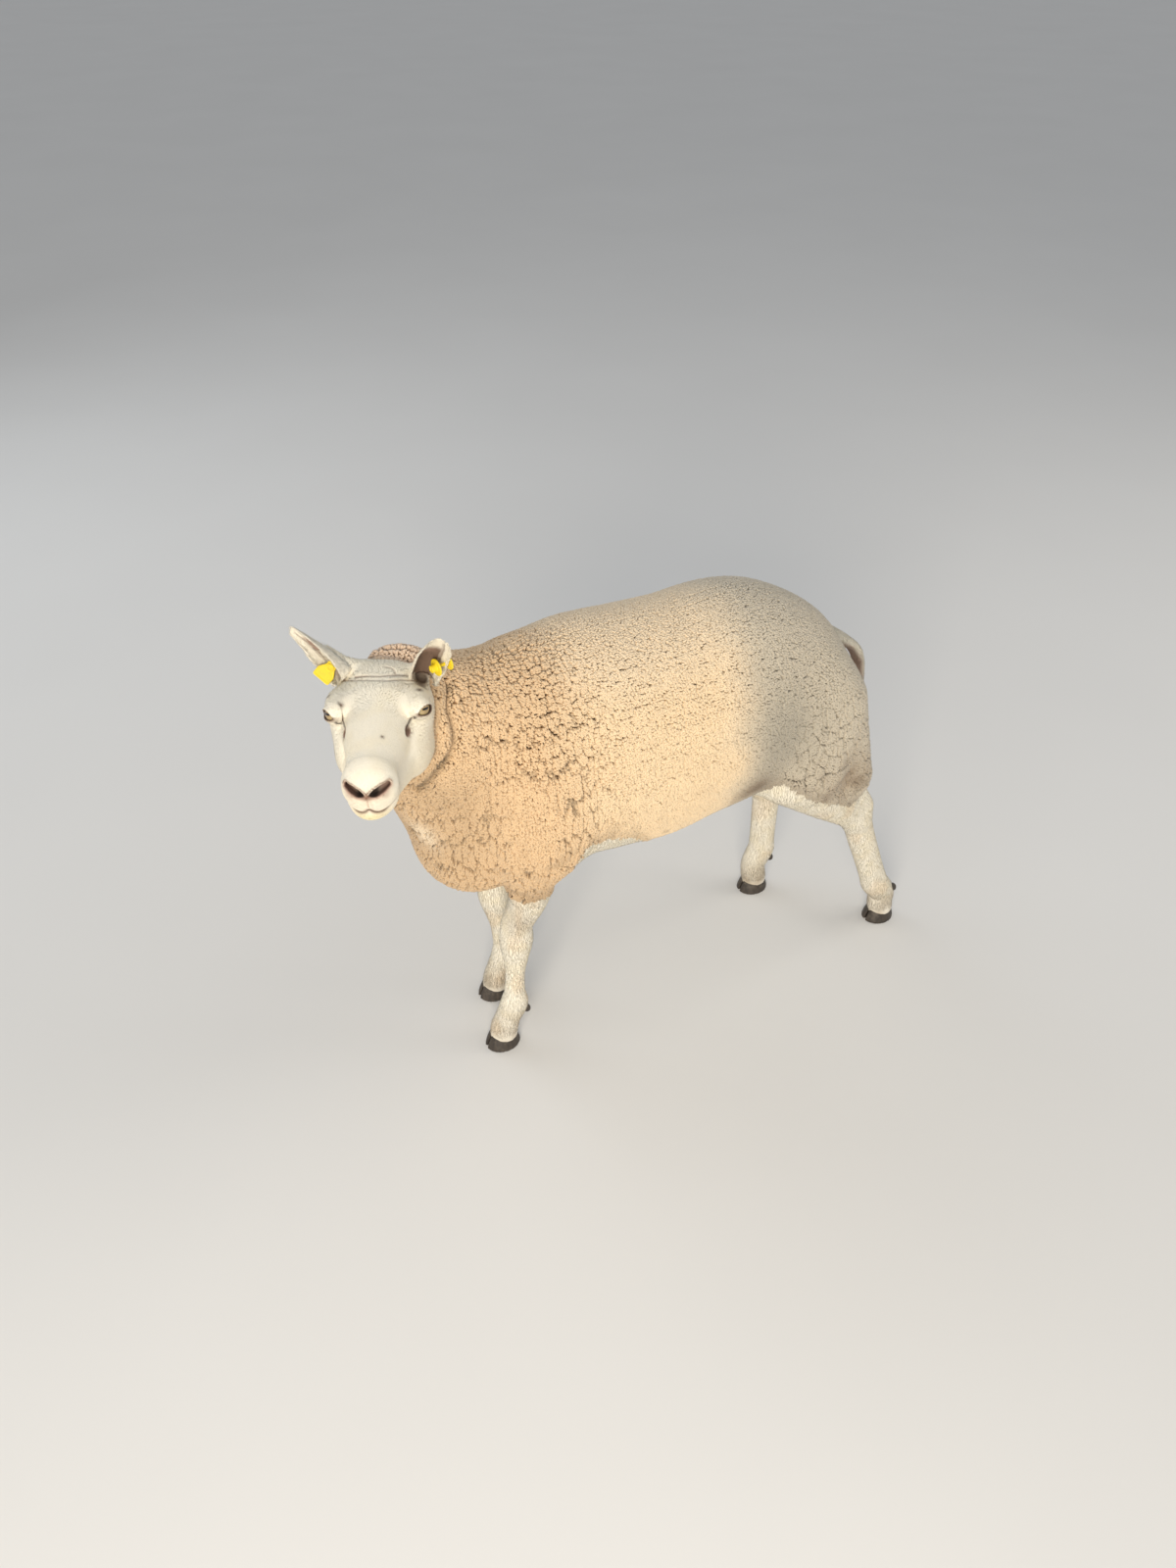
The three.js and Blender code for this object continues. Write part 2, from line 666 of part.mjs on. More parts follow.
/** Adds a solid to a group as a named mesh. */
function put(group, name, solid, material) {
  group.add(named(name, geometryOf(solid), material));
}

const neckMesh = meshed(bodyField, new THREE.Box3(v3(-170, -560, 330), v3(170, -220, 860)), 32);

function buildTrunkAndNeck() {
  const barrel = meshed(bodyField, new THREE.Box3(v3(-215, -480, 300), v3(215, 400, 790)), 42);
  let trunk = solidFrom(barrel).subtract(behind(nodeCut.neck, HALF_GAP));
  for (const side of [LEFT, RIGHT]) {
    trunk = trunk.subtract(behind(nodeCut.foreLeg(side), HALF_GAP));
    trunk = trunk.subtract(behind(nodeCut.hindLeg(side), HALF_GAP));
  }
  put(sheep, 'trunk', trunk, materials.fleece);

  const neck = solidFrom(neckMesh).intersect(behind(nodeCut.neck, -HALF_GAP));
  put(sheep, 'neck', neck.subtract(behind(nodeCut.head, HALF_GAP)), materials.fleece);
}

function buildTail() {
  const back = meshed(bodyField, new THREE.Box3(v3(-90, 130, 440), v3(90, 380, 760)), 20);
  const strap = solidFrom(meshed(tailField, new THREE.Box3(v3(-70, 190, 480), v3(70, 350, 700)), 17));
  put(sheep, 'tail', strap.subtract(solidFrom(swollen(back, bodyField, 6 * GAP))), materials.fleece);
}

/** A leg is two nodes, parted at the hem of the fleece, on two claws and two dewclaws. */
function buildLeg(leg) {
  const { name, side, line, foot } = leg;
  const hind = Boolean(leg.stifle);
  const cut = hind ? nodeCut.hindLeg(side) : nodeCut.foreLeg(side);
  const [hemAt, hemUp] = HEM[name];
  const reach = (a, b) => (side === LEFT ? [a, b] : [-b, -a]);
  const [x0, x1] = hind ? reach(-40, 215) : reach(0, 215);
  const [y0, y1] = hind ? [-10, 470] : [-430, -150];
  const upper = bodyPiece([x0, y0, 200], [x1, y1, hind ? 740 : 500], hind ? 33 : 27, cut);
  put(sheep, `${name}_upper`, upper.subtract(halfSpace([hemAt, hemUp], HALF_GAP)), materials.fleece);

  const [a0, a1] = reach(10, 215);
  const below = [hemAt, hemUp];
  const [coronetAt, coronetUp] = coronetOf(leg);
  const alone = (p) => legField(p, leg);
  const box = new THREE.Box3(v3(a0, foot[1] - 190, 0), v3(a1, foot[1] + 110, 400));
  const whole = solidFrom(meshed(alone, box, 20));
  let shank = whole.intersect(halfSpace(below, -HALF_GAP)).subtract(halfSpace([coronetAt, coronetUp], GAP));
  for (const [where, turn] of [['outer', side], ['inner', -side]]) {
    put(sheep, `${name}_claw_${where}`, clawSolid(leg, turn), materials.horn);
    put(sheep, `${name}_dewclaw_${where}`, dewclawSolid(leg, turn, 0), materials.horn);
    shank = shank.subtract(dewclawSolid(leg, turn, GAP));
  }
  put(sheep, `${name}_lower`, shank, materials.leg);
}

/** The opening between the lids, from inside the eyeball outwards. */
function lidOpening(side, at) {
  const gaze = v3(side * 0.74, -0.65, 0.17).normalize();
  const slit = v3(side * 0.5, 0.62, 0.42);
  const across = slit.addScaledVector(gaze, -slit.dot(gaze)).normalize();
  const matrix = new THREE.Matrix4().makeBasis(across, gaze, v3(0, 0, 0).crossVectors(across, gaze));
  return solidOf(new THREE.SphereGeometry(1, 12, 8).scale(12, 34, 8), matrix.setPosition(at));
}

function buildHead() {
  const box = new THREE.Box3(v3(-100, -270, -190), v3(100, 60, 60));
  const field = (p) => bodyField(p.clone().applyMatrix4(headGroup.matrixWorld));
  const whole = meshed(field, box, 16);
  const skull = solidFrom(whole).intersect(behind(headCutLocal, -HALF_GAP));
  const nape = solidFrom(swollen(neckMesh, bodyField, GAP)).transform(intoHead.toArray());
  const clearance = solidFrom(swollen(whole, field, GAP)).add(nape);
  let head = skull;
  for (const side of [LEFT, RIGHT]) {
    const name = side === LEFT ? 'left' : 'right';
    const at = EYE_CENTRE.clone().setX(side * EYE_CENTRE.x);
    const eye = new THREE.IcosahedronGeometry(EYE_RADIUS, 2);
    const socket = new THREE.IcosahedronGeometry(EYE_RADIUS + GAP, 2);
    head = head.subtract(solidOf(socket, new THREE.Matrix4().setPosition(at)));
    head = head.subtract(lidOpening(side, at));
    const ball = named(`eye_${name}`, geometryOf(solidOf(eye)), materials.eye);
    ball.position.copy(at);
    headGroup.add(ball);

    const ear = EARS[name];
    put(headGroup, `ear_${name}`, earSolid(ear).subtract(clearance), materials.ear);
    put(headGroup, `tag_${name}_front`, tagFront(ear).transform(tagMatrix(ear).toArray()), materials.tag);
    put(headGroup, `tag_${name}_back`, tagBack(ear).transform(tagMatrix(ear).toArray()), materials.tag);
  }
  put(headGroup, 'head', head, materials.face);
}

buildTrunkAndNeck();
buildTail();
LEGS.forEach(buildLeg);
buildHead();

// The origin is on the ground below the middle of the animal's bounding box.
const extent = new THREE.Box3().setFromObject(sheep, true);
const middle = extent.getCenter(v3(0, 0, 0));
sheep.position.set(-middle.x, -middle.y, -extent.min.z);

export default sheep;
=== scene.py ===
"""A sheep, life size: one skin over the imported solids, its fleece and hair, eyes, hooves and ear tags.

The anatomy is a distance field in millimetres: rounded masses and tapering limbs, blended where
flesh runs together. The skin is meshed from it at the depth of the coat, and the fleece's locks and
the short hair grow from the skin out to the solids' outline. Everything rides on the one body.
"""

from __future__ import annotations

import logging
import math
from dataclasses import dataclass, field
from enum import Enum
from typing import Any, Callable, Iterable, Mapping, Sequence

import bpy
import numpy as np
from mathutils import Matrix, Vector

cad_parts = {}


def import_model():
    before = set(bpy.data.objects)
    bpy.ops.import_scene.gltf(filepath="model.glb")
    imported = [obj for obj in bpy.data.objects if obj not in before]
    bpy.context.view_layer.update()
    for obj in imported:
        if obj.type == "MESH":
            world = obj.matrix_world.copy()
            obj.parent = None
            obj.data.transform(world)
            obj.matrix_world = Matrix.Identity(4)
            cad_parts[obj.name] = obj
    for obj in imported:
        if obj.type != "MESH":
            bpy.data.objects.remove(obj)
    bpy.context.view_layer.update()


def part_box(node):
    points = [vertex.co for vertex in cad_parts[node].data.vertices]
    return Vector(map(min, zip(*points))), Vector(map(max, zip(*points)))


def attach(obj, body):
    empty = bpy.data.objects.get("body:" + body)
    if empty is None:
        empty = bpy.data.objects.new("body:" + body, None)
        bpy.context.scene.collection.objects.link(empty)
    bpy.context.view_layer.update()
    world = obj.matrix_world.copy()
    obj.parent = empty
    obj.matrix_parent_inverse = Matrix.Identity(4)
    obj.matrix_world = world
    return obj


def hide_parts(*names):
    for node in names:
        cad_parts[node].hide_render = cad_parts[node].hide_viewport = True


Array = np.ndarray
Shape = Callable[[Array], Array]
Row = Sequence[float]
Point = tuple[float, float, float]
Material = bpy.types.Material

log = logging.getLogger("sheep")

MM = 0.001
LEFT, RIGHT = 1, -1
ROOT_BODY = "root"


# ---- Small vector helpers


def vec(*values: float) -> Array:
    """A vector of floats."""
    return np.array(values, dtype=float)


def unit(v: Array) -> Array:
    """The vectors scaled to length one."""
    return v / np.maximum(np.linalg.norm(v, axis=-1, keepdims=True), 1e-9)


def ease(low: float, high: float, x: Array) -> Array:
    """0 below low, 1 above high, and a smooth S between: t^2 (3 - 2t)."""
    t = np.clip((x - low) / (high - low), 0, 1)
    return t * t * (3 - 2 * t)


def mix(a: Array, b: Array, t: Array) -> Array:
    """a where t is 0, b where t is 1, and a straight blend between."""
    return a + (b - a) * t


def bell(x: Array, width: float) -> Array:
    """A bell curve: 1 at zero, falling to exp(-1) at the width."""
    return np.exp(-((x / width) ** 2))


def away(p: Array, *centre: float) -> Array:
    """How far each point is from a centre."""
    return np.linalg.norm(p - vec(*centre), axis=1)


def blob(p: Array, centre: Row, stretch: Row, width: float) -> Array:
    """A bell curve round a centre, stretched along each axis."""
    return bell(np.linalg.norm((p - vec(*centre)) / vec(*stretch), axis=1), width)


def in_box(p: Array, low: Array, high: Array) -> Array:
    """Which points lie between two corners."""
    return np.all((p > low) & (p < high), axis=1)


def squared(out: Array, along: Array) -> Array:
    """Axes as rows: along, made square to out; out; and the way up across both."""
    along = unit(along - (along @ out) * out)
    up = np.cross(along, out)
    return np.array([along, out, up if up[2] > 0 else -up])


def near_face(q: Array) -> Array:
    """Whether points of the head's frame are on the head rather than the body."""
    return away(q, 0, -110, -60) < 190


def hashed(cell: Array, salt: int) -> Array:
    """A repeatable number from 0 to 1 for each whole-number cell of a grid."""
    i = cell.astype(np.int64)
    n = (i[..., 0] * 73856093) ^ (i[..., 1] * 19349663) ^ (i[..., 2] * 83492791) ^ (salt * 2654435761)
    n = (n ^ (n >> 13)) * 1274126177 & 0x7FFFFFFF
    n = (n ^ (n >> 15)) & 0xFFFFFF
    return n / float(0x1000000)


def noise_at(p: Array, size: float, salt: int = 0) -> Array:
    """Smooth noise from 0 to 1: hashed corners of cells `size` wide, blended."""
    q = p / size
    base = np.floor(q)
    t = q - base
    t = t * t * (3 - 2 * t)
    total = np.zeros(len(p))
    for corner in np.ndindex(2, 2, 2):
        c = np.array(corner)
        weight = np.prod(np.where(c == 1, t, 1 - t), axis=1)
        total += weight * hashed(base + c, salt)
    return total


# ---- Distance fields


def join(a: Array, b: Array, soft: float) -> Array:
    """The union of two fields, with a fillet about `soft` wide."""
    h = np.clip(0.5 + 0.5 * (b - a) / soft, 0, 1)
    return b + (a - b) * h - soft * h * (1 - h)


def carve(a: Array, b: Array, soft: float) -> Array:
    """Field a with field b cut out of it, and the cut's edge rounded."""
    return -join(-a, b, soft)


def mass(p: Array, centre: Row, half: Row) -> Array:
    """A rounded mass: an ellipsoid, as (|q| - 1) |q| / |grad|, where q is p over the half-axes."""
    q = (p - np.asarray(centre, float)) / np.asarray(half, float)
    near = np.linalg.norm(q, axis=1)
    steep = np.linalg.norm(q / np.asarray(half, float), axis=1)
    return near * (near - 1) / np.maximum(steep, 1e-6)


def taper(p: Array, a: Row, b: Row) -> Array:
    """A straight tapering length from a to b, each (x, y, z, radius)."""
    start, end = np.asarray(a[:3], float), np.asarray(b[:3], float)
    along = end - start
    t = np.clip((p - start) @ along / (along @ along), 0, 1)
    off = np.linalg.norm(p - start - t[:, None] * along, axis=1)
    return off - mix(a[3], b[3], t)


def chain(p: Array, line: Array, slim: float = 1.0) -> Array:
    """A limb along stations (x, y, z, radius), `slim` times as wide as it is deep."""
    q = p
    if slim != 1:
        middle = line[-1, 0]
        q = p.copy()
        q[:, 0] = middle + (p[:, 0] - middle) / slim
    nearest = np.full(len(p), np.inf)
    for a, b in zip(line[:-1], line[1:]):
        nearest = np.minimum(nearest, taper(q, a, b))
    return nearest


def smoothed(stations: Sequence[Row], steps: int = 4) -> Array:
    """Fills in stations on a smooth curve through the given ones, a centripetal Catmull-Rom spline.

    Args:
        stations: rows of (x, y, z, radius).
        steps: how many spans each given span is divided into.

    Returns:
        The rows of the finer line.
    """
    given = np.asarray(stations, float)
    index = np.arange(len(given), dtype=float)
    girth = np.column_stack([given[:, 3], index, 0 * index])
    t = np.linspace(0, len(given) - 1, (len(given) - 1) * steps + 1)
    return np.column_stack([spline(given[:, :3], t), spline(girth, t)[:, :1]])


def spline(points: Array, t: Array) -> Array:
    """Points of a centripetal Catmull-Rom curve at t, which counts the given points from zero."""
    ends = [2 * points[:1] - points[1:2], points, 2 * points[-1:] - points[-2:-1]]
    p = np.concatenate(ends)
    i = np.minimum(t.astype(int), len(points) - 2)
    w = (t - i)[:, None]
    p0, p1, p2, p3 = p[i], p[i + 1], p[i + 2], p[i + 3]
    gaps = [np.sqrt(np.linalg.norm(b - a, axis=1, keepdims=True)) for a, b in ((p0, p1), (p1, p2), (p2, p3))]
    d0, d1, d2 = (np.maximum(g, 1e-4) for g in gaps)
    s1 = ((p1 - p0) / d0 - (p2 - p0) / (d0 + d1) + (p2 - p1) / d1) * d1
    s2 = ((p2 - p1) / d1 - (p3 - p1) / (d1 + d2) + (p3 - p2) / d2) * d1
    cubic = 2 * p1 - 2 * p2 + s1 + s2
    square = -3 * p1 + 3 * p2 - 2 * s1 - s2
    return p1 + w * (s1 + w * (square + w * cubic))


# ---- Anatomy


@dataclass(frozen=True)
class Leg:
    """One leg: where it stands, its smoothed line of stations and, behind, its haunch.

    Coordinates are the figure's own, in millimetres.
    """

    name: str
    side: int
    foot: tuple[float, float]
    line: Array
    stifle: Point | None = None
    hock: Point | None = None
    hip_at: float = 0.0

    @property
    def is_hind(self) -> bool:
        """Whether this is a hind leg."""
        return self.stifle is not None


@dataclass(frozen=True)
class Placing:
    """The head's own frame: x to its left, nose towards -y, z up, origin at the poll."""

    poll: Point = (25.0, -474.0, 793.0)
    turn_deg: float = 66.2
    nose_lift_deg: float = 3.2

    @property
    def axes(self) -> Array:
        """Rotation about z by the turn, after one about x by the nose's lift, as columns."""
        z, x = math.radians(self.turn_deg), -math.radians(self.nose_lift_deg)
        about_z = np.array([[math.cos(z), -math.sin(z), 0], [math.sin(z), math.cos(z), 0], [0, 0, 1]])
        about_x = np.array([[1, 0, 0], [0, math.cos(x), -math.sin(x)], [0, math.sin(x), math.cos(x)]])
        return about_z @ about_x

    def into(self, p: Array) -> Array:
        """Points of the figure in the head's frame."""
        return (p - np.array(self.poll)) @ self.axes

    def out(self, q: Array) -> Array:
        """Points of the head's frame in the figure's."""
        return q @ self.axes.T + np.array(self.poll)

    def turned(self, d: Array) -> Array:
        """Directions of the head's frame in the figure's."""
        return d @ self.axes.T


@dataclass
class Anatomy:
    """The sheep's outline, to the tips of its coat, as one field in millimetres."""

    back_height: float = 757.0
    belly_height: float = 372.0
    half_width: float = 172.0
    fetlock_height: float = 88.0
    leg_slim: float = 0.92
    tail_breadth: float = 2.1
    head: Placing = field(default_factory=Placing)
    legs: list[Leg] = field(init=False)
    neck_line: Array = field(init=False)
    tail_line: Array = field(init=False)

    def __post_init__(self) -> None:
        """Works out the lines of the neck, tail and legs."""
        self.neck_line = smoothed([[4, -300, 620, 112], [12, -385, 650, 94], [18, -424, 698, 70]])
        self.tail_line = smoothed([[0, 242, 636, 20], [0, 286, 596, 13], [0, 311, 558, 10], [0, 322, 508, 8.5]])
        fore = [
            ("foreleg_left", LEFT, (60, -322, 238), (56, -355)),
            ("foreleg_right", RIGHT, (-58, -312, 232), (-55, -324)),
        ]
        hind = [
            ("hindleg_left", LEFT, (108, 142, 452), (88, 313, 284), (86, 414), 165),
            ("hindleg_right", RIGHT, (-108, 108, 432), (-90, 250, 240), (-89, 240), 140),
        ]
        self.legs = [Leg(name, side, foot, self._fore_line(side, knee, foot)) for name, side, knee, foot in fore]
        self.legs += [
            Leg(name, side, foot, self._hind_line(side, stifle, hock, foot), stifle, hock, hip_at)
            for name, side, stifle, hock, foot, hip_at in hind
        ]

    def _fore_line(self, side: int, knee: Row, foot: Row) -> Array:
        """Stations down a fore leg, from the shoulder's muscle to inside the hoof."""
        bend = vec(*knee)
        fetlock = vec(foot[0] + side * 2, foot[1] + 24, self.fetlock_height)
        girths = ((-0.22, 28), (0, 29.5), (0.25, 23.5), (0.55, 18), (0.82, 19.5), (1, 25.5))
        shin = [[*mix(bend, fetlock, t), r] for t, r in girths]
        muscle = ((92, -304, 480, 54), (87, -301, 408, 41), (76, -301, 352, 37), (72, -302, 326, 32))
        top = [[side * x, *rest] for x, *rest in muscle]
        ankle = ((side, 13, 62, 24), (0, 5, 38, 25.5), (0, 3, 24, 26))
        pastern = [[foot[0] + x, foot[1] + y, *rest] for x, y, *rest in ankle]
        return smoothed([*top, *shin, *pastern])

    def _hind_line(self, side: int, stifle: Row, hock: Row, foot: Row) -> Array:
        """Stations down a hind leg, from the stifle to inside the hoof."""
        lean = -18 if foot[1] > 300 else 18
        fetlock = vec(foot[0] + side, foot[1] + lean - 6, self.fetlock_height + 8)
        shank = [[*mix(vec(*stifle), vec(*hock), t), r] for t, r in ((0, 58), (0.52, 43), (0.86, 31), (1, 28.5))]
        cannon = [[*mix(vec(*hock), fetlock, t), r] for t, r in ((0.28, 27), (0.6, 26), (0.85, 26), (1, 27.5))]
        pastern = [[foot[0], foot[1] + y, z, 26] for y, z in ((-2, 64), (-1, 40), (2, 24))]
        return smoothed([*shank, *cannon, *pastern])

    def trunk(self, p: Array) -> Array:
        """The barrel, belly, loin, buttocks, brisket and shoulders."""
        middle = (self.back_height + self.belly_height) / 2
        barrel = mass(p, (0, -165, middle - 8), (self.half_width - 6, 230, 193))
        belly = mass(p, (0, 5, middle - 4), (self.half_width - 4, 225, 182))
        loin = mass(p, (0, 88, 578), (142, 150, 162))
        buttocks = mass(p, (0, 175, 530), (128, 120, 158))
        brisket = mass(p, (6, -358, 444), (90, 98, 104))
        body = join(join(barrel, belly, 50), join(loin, buttocks, 50), 50)
        body = join(body, brisket, 60)
        for side in (LEFT, RIGHT):
            body = join(body, mass(p, (side * 98, -292, 516), (64, 76, 132)), 50)
        return body

    def neck(self, p: Array) -> Array:
        """The neck with its deep wool."""
        return join(mass(p, (8, -385, 588), (104, 106, 146)), chain(p, self.neck_line), 50)

    def tail(self, p: Array) -> Array:
        """The docked tail, a flat strap."""
        return chain(p, self.tail_line, self.tail_breadth)

    def leg(self, p: Array, leg: Leg) -> Array:
        """One leg, with the flesh of the thigh and the hock's tendon if it is a hind one."""
        shaft = chain(p, leg.line, self.leg_slim)
        if not leg.is_hind:
            return shaft
        stifle, hock = vec(*leg.stifle), vec(*leg.hock)
        hip = vec(leg.side * 70, leg.hip_at, 578)
        calf = (stifle + hock) / 2
        point = hock + vec(0, 20, 24)
        over = taper(p, [*hip, 88], [*(stifle + vec(0, 30, 12)), 64])
        behind = taper(p, [*(hip + vec(0, 48, -40)), 78], [*(calf + vec(0, 42, 34)), 42])
        tendon = taper(p, [*(calf + vec(0, 50, 20)), 20], [*point, 13])
        heel = taper(p, [*point, 13], [*hock, 22])
        return join(shaft, join(join(over, behind, 40), np.minimum(tendon, heel), 24), 24)

    def skull(self, q: Array) -> Array:
        """The skull, face and jaws, in the head's own frame."""
        face = taper(q, (0, -74, -56, 51), (0, -186, -60, 30))
        head = join(mass(q, (0, -34, -46), (56, 60, 44)), face, 24)
        poll, nose, chin = ((0, -10, -20), (40, 32, 22)), ((0, -200, -68), (35, 32, 31)), ((0, -200, -97), (24, 25, 16))
        for part, soft in ((poll, 18), (nose, 18), (chin, 14)):
            head = join(head, mass(q, *part), soft)
        for side in (LEFT, RIGHT):
            brow = mass(q, (side * 50, -76, -26), (17, 30, 15))
            temple = mass(q, (side * 44, -46, -52), (23, 40, 32))
            cheek = mass(q, (side * 43, -64, -86), (21, 50, 44))
            jaw = taper(q, (side * 34, -50, -112, 27), (side * 12, -182, -92, 18))
            ear_root = mass(q, (side * 46, -8, -24), (17, 18, 17))
            head = join(join(head, brow, 14), temple, 16)
            head = join(join(join(head, cheek, 20), jaw, 22), ear_root, 14)
        return head

    def ear_root(self, q: Array) -> Array:
        """The broad gristle from the poll into the right ear, in the head's own frame."""
        low = taper(q, (-20, -6, -26, 16), (-50, -5, -13, 15))
        return np.minimum(low, taper(q, (-50, -5, -13, 15), (-74, -1, 12, 8.5)))

    def body(self, p: Array) -> Array:
        """The whole animal without ears, eyes, hooves and tail, each part worked out only near it."""
        total = join(self.trunk(p), self.neck(p), 50)
        for leg in self.legs:
            reach = leg.line[:, :3]
            low, high = reach.min(0) - 110, reach.max(0) + 110
            if leg.is_hind:
                high = high + vec(60, 60, 130)
                low = low - vec(60, 60, 0)
            near = in_box(p, low, high)
            if near.any():
                total[near] = join(total[near], self.leg(p[near], leg), 24)
        q = self.head.into(p)
        near = away(q, 0, -90, -60) < 300
        if near.any():
            total[near] = join(total[near], self.skull(q[near]), 12)
        return total


# ---- Coat


@dataclass
class Coat:
    """Where the fleece lies, where the hair is short, and how deep each is, in millimetres."""

    anatomy: Anatomy
    wool_depth: float = 12.0
    hem_depth: float = 7.0
    hair_depth: float = 2.4
    underline_y: tuple[float, ...] = (-262, -254, -238, -200, -152, -114, -60, 40, 103, 214, 266, 300, 345)
    underline_z: tuple[float, ...] = (310, 425, 478, 470, 452, 402, 386, 430, 468, 384, 352, 366, 392)
    right_shift: tuple[float, float] = (-63.0, -44.0)
    thigh_from: float = 60.0
    fold: tuple[Point, ...] = (
        *((53, -401, 745), (67, -406, 734), (77, -410, 721), (85, -409, 707), (91, -409, 695), (96, -411, 683)),
        *((99, -417, 671), (98, -428, 656), (95, -438, 641), (89, -449, 625), (78, -458, 609)),
    )

    def hem_height(self, p: Array) -> Array:
        """The height of the fleece's lower edge below or above each point.

        Along the belly and thigh it is a broken line, moved with the leg on the right side, and
        at the fore legs a level ring.
        """
        on_right = p[:, 0] < 0
        thigh = ease(-40, self.thigh_from, p[:, 1])
        y = p[:, 1] - on_right * thigh * self.right_shift[0]
        z = np.interp(y, self.underline_y, self.underline_z) + on_right * thigh * self.right_shift[1]
        ring = 352 + 0.7 * np.maximum(0, np.abs(p[:, 0]) - 100)
        fore = np.where(np.abs(p[:, 0]) > 42, ring, 300)
        z = np.where(p[:, 1] < -262, fore, z)
        inner = (1 - ease(40, 70, np.abs(p[:, 0]))) * ease(40, 90, p[:, 1]) * ease(215, 165, p[:, 1])
        return mix(z, np.maximum(z, 455), inner)

    def fold_distance(self, p: Array) -> Array:
        """The distance to the dark fold between the cheek's wool and the neck's."""
        return chain(p, smoothed([[*point, 0.0] for point in self.fold], 2))

    def on_nape(self, q: Array) -> Array:
        """1 on the roll of wool behind the poll, for points in the head's frame."""
        return ease(14, 4, mass(q, (18, 26, -25), (44, 21, 25)))

    def on_cheek(self, q: Array) -> Array:
        """1 on the smooth roll between the left cheek and the fold."""
        behind = self.behind_face(q)
        side = ease(20, 45, q[:, 0]) * ease(-5, -30, q[:, 2])
        return side * ease(26, 16, behind)

    def behind_face(self, q: Array) -> Array:
        """How far points of the head lie behind the line where the wool begins."""
        line = np.interp(q[:, 2], (-175, -156, -124, -92, -62, -42, -20, 0), (-46, -50, -50, -41, -27, -12, -2, 6))
        return q[:, 1] - line - 24 * ease(-22, -40, q[:, 0]) * ease(-45, -25, q[:, 2])

    def woolliness(self, p: Array) -> Array:
        """1 in the fleece, 0 where the hair is short, and a quick change at the hem."""
        q = self.anatomy.head.into(p)
        bare = 1 - ease(-5, 7, self.behind_face(q))
        near = away(q, 0, -90, -60) < 260
        bare[~near] = 0
        if near.any():
            bare[near] *= 1 - ease(3, 13, self.anatomy.skull(q[near]))
            gristle = self.anatomy.ear_root(q[near])
            bare[near] = np.maximum(bare[near], ease(9, 3, gristle))
        above = ease(-6, 12, p[:, 2] - self.hem_height(p))
        return above * (1 - bare)

    def depth(self, p: Array) -> Array:
        """The coat's depth: thin near a hem, full a hand's breadth into the fleece."""
        q = self.anatomy.head.into(p)
        into = np.minimum(p[:, 2] - self.hem_height(p), 300)
        near_head = away(q, 0, -60, -60) < 170
        into = np.where(near_head, np.minimum(into, self.behind_face(q) + 10), into)
        wool = mix(self.hem_depth, self.wool_depth, ease(0, 75, into))
        wool = mix(wool, 6.0, self.on_nape(q))
        return mix(self.hair_depth, wool, self.woolliness(p))


# ---- The face's finer forms


@dataclass(frozen=True)
class Crease:
    """A groove along a line on the face: its points, half width and depth, in millimetres."""

    points: tuple[Point, ...]
    width: float
    depth: float


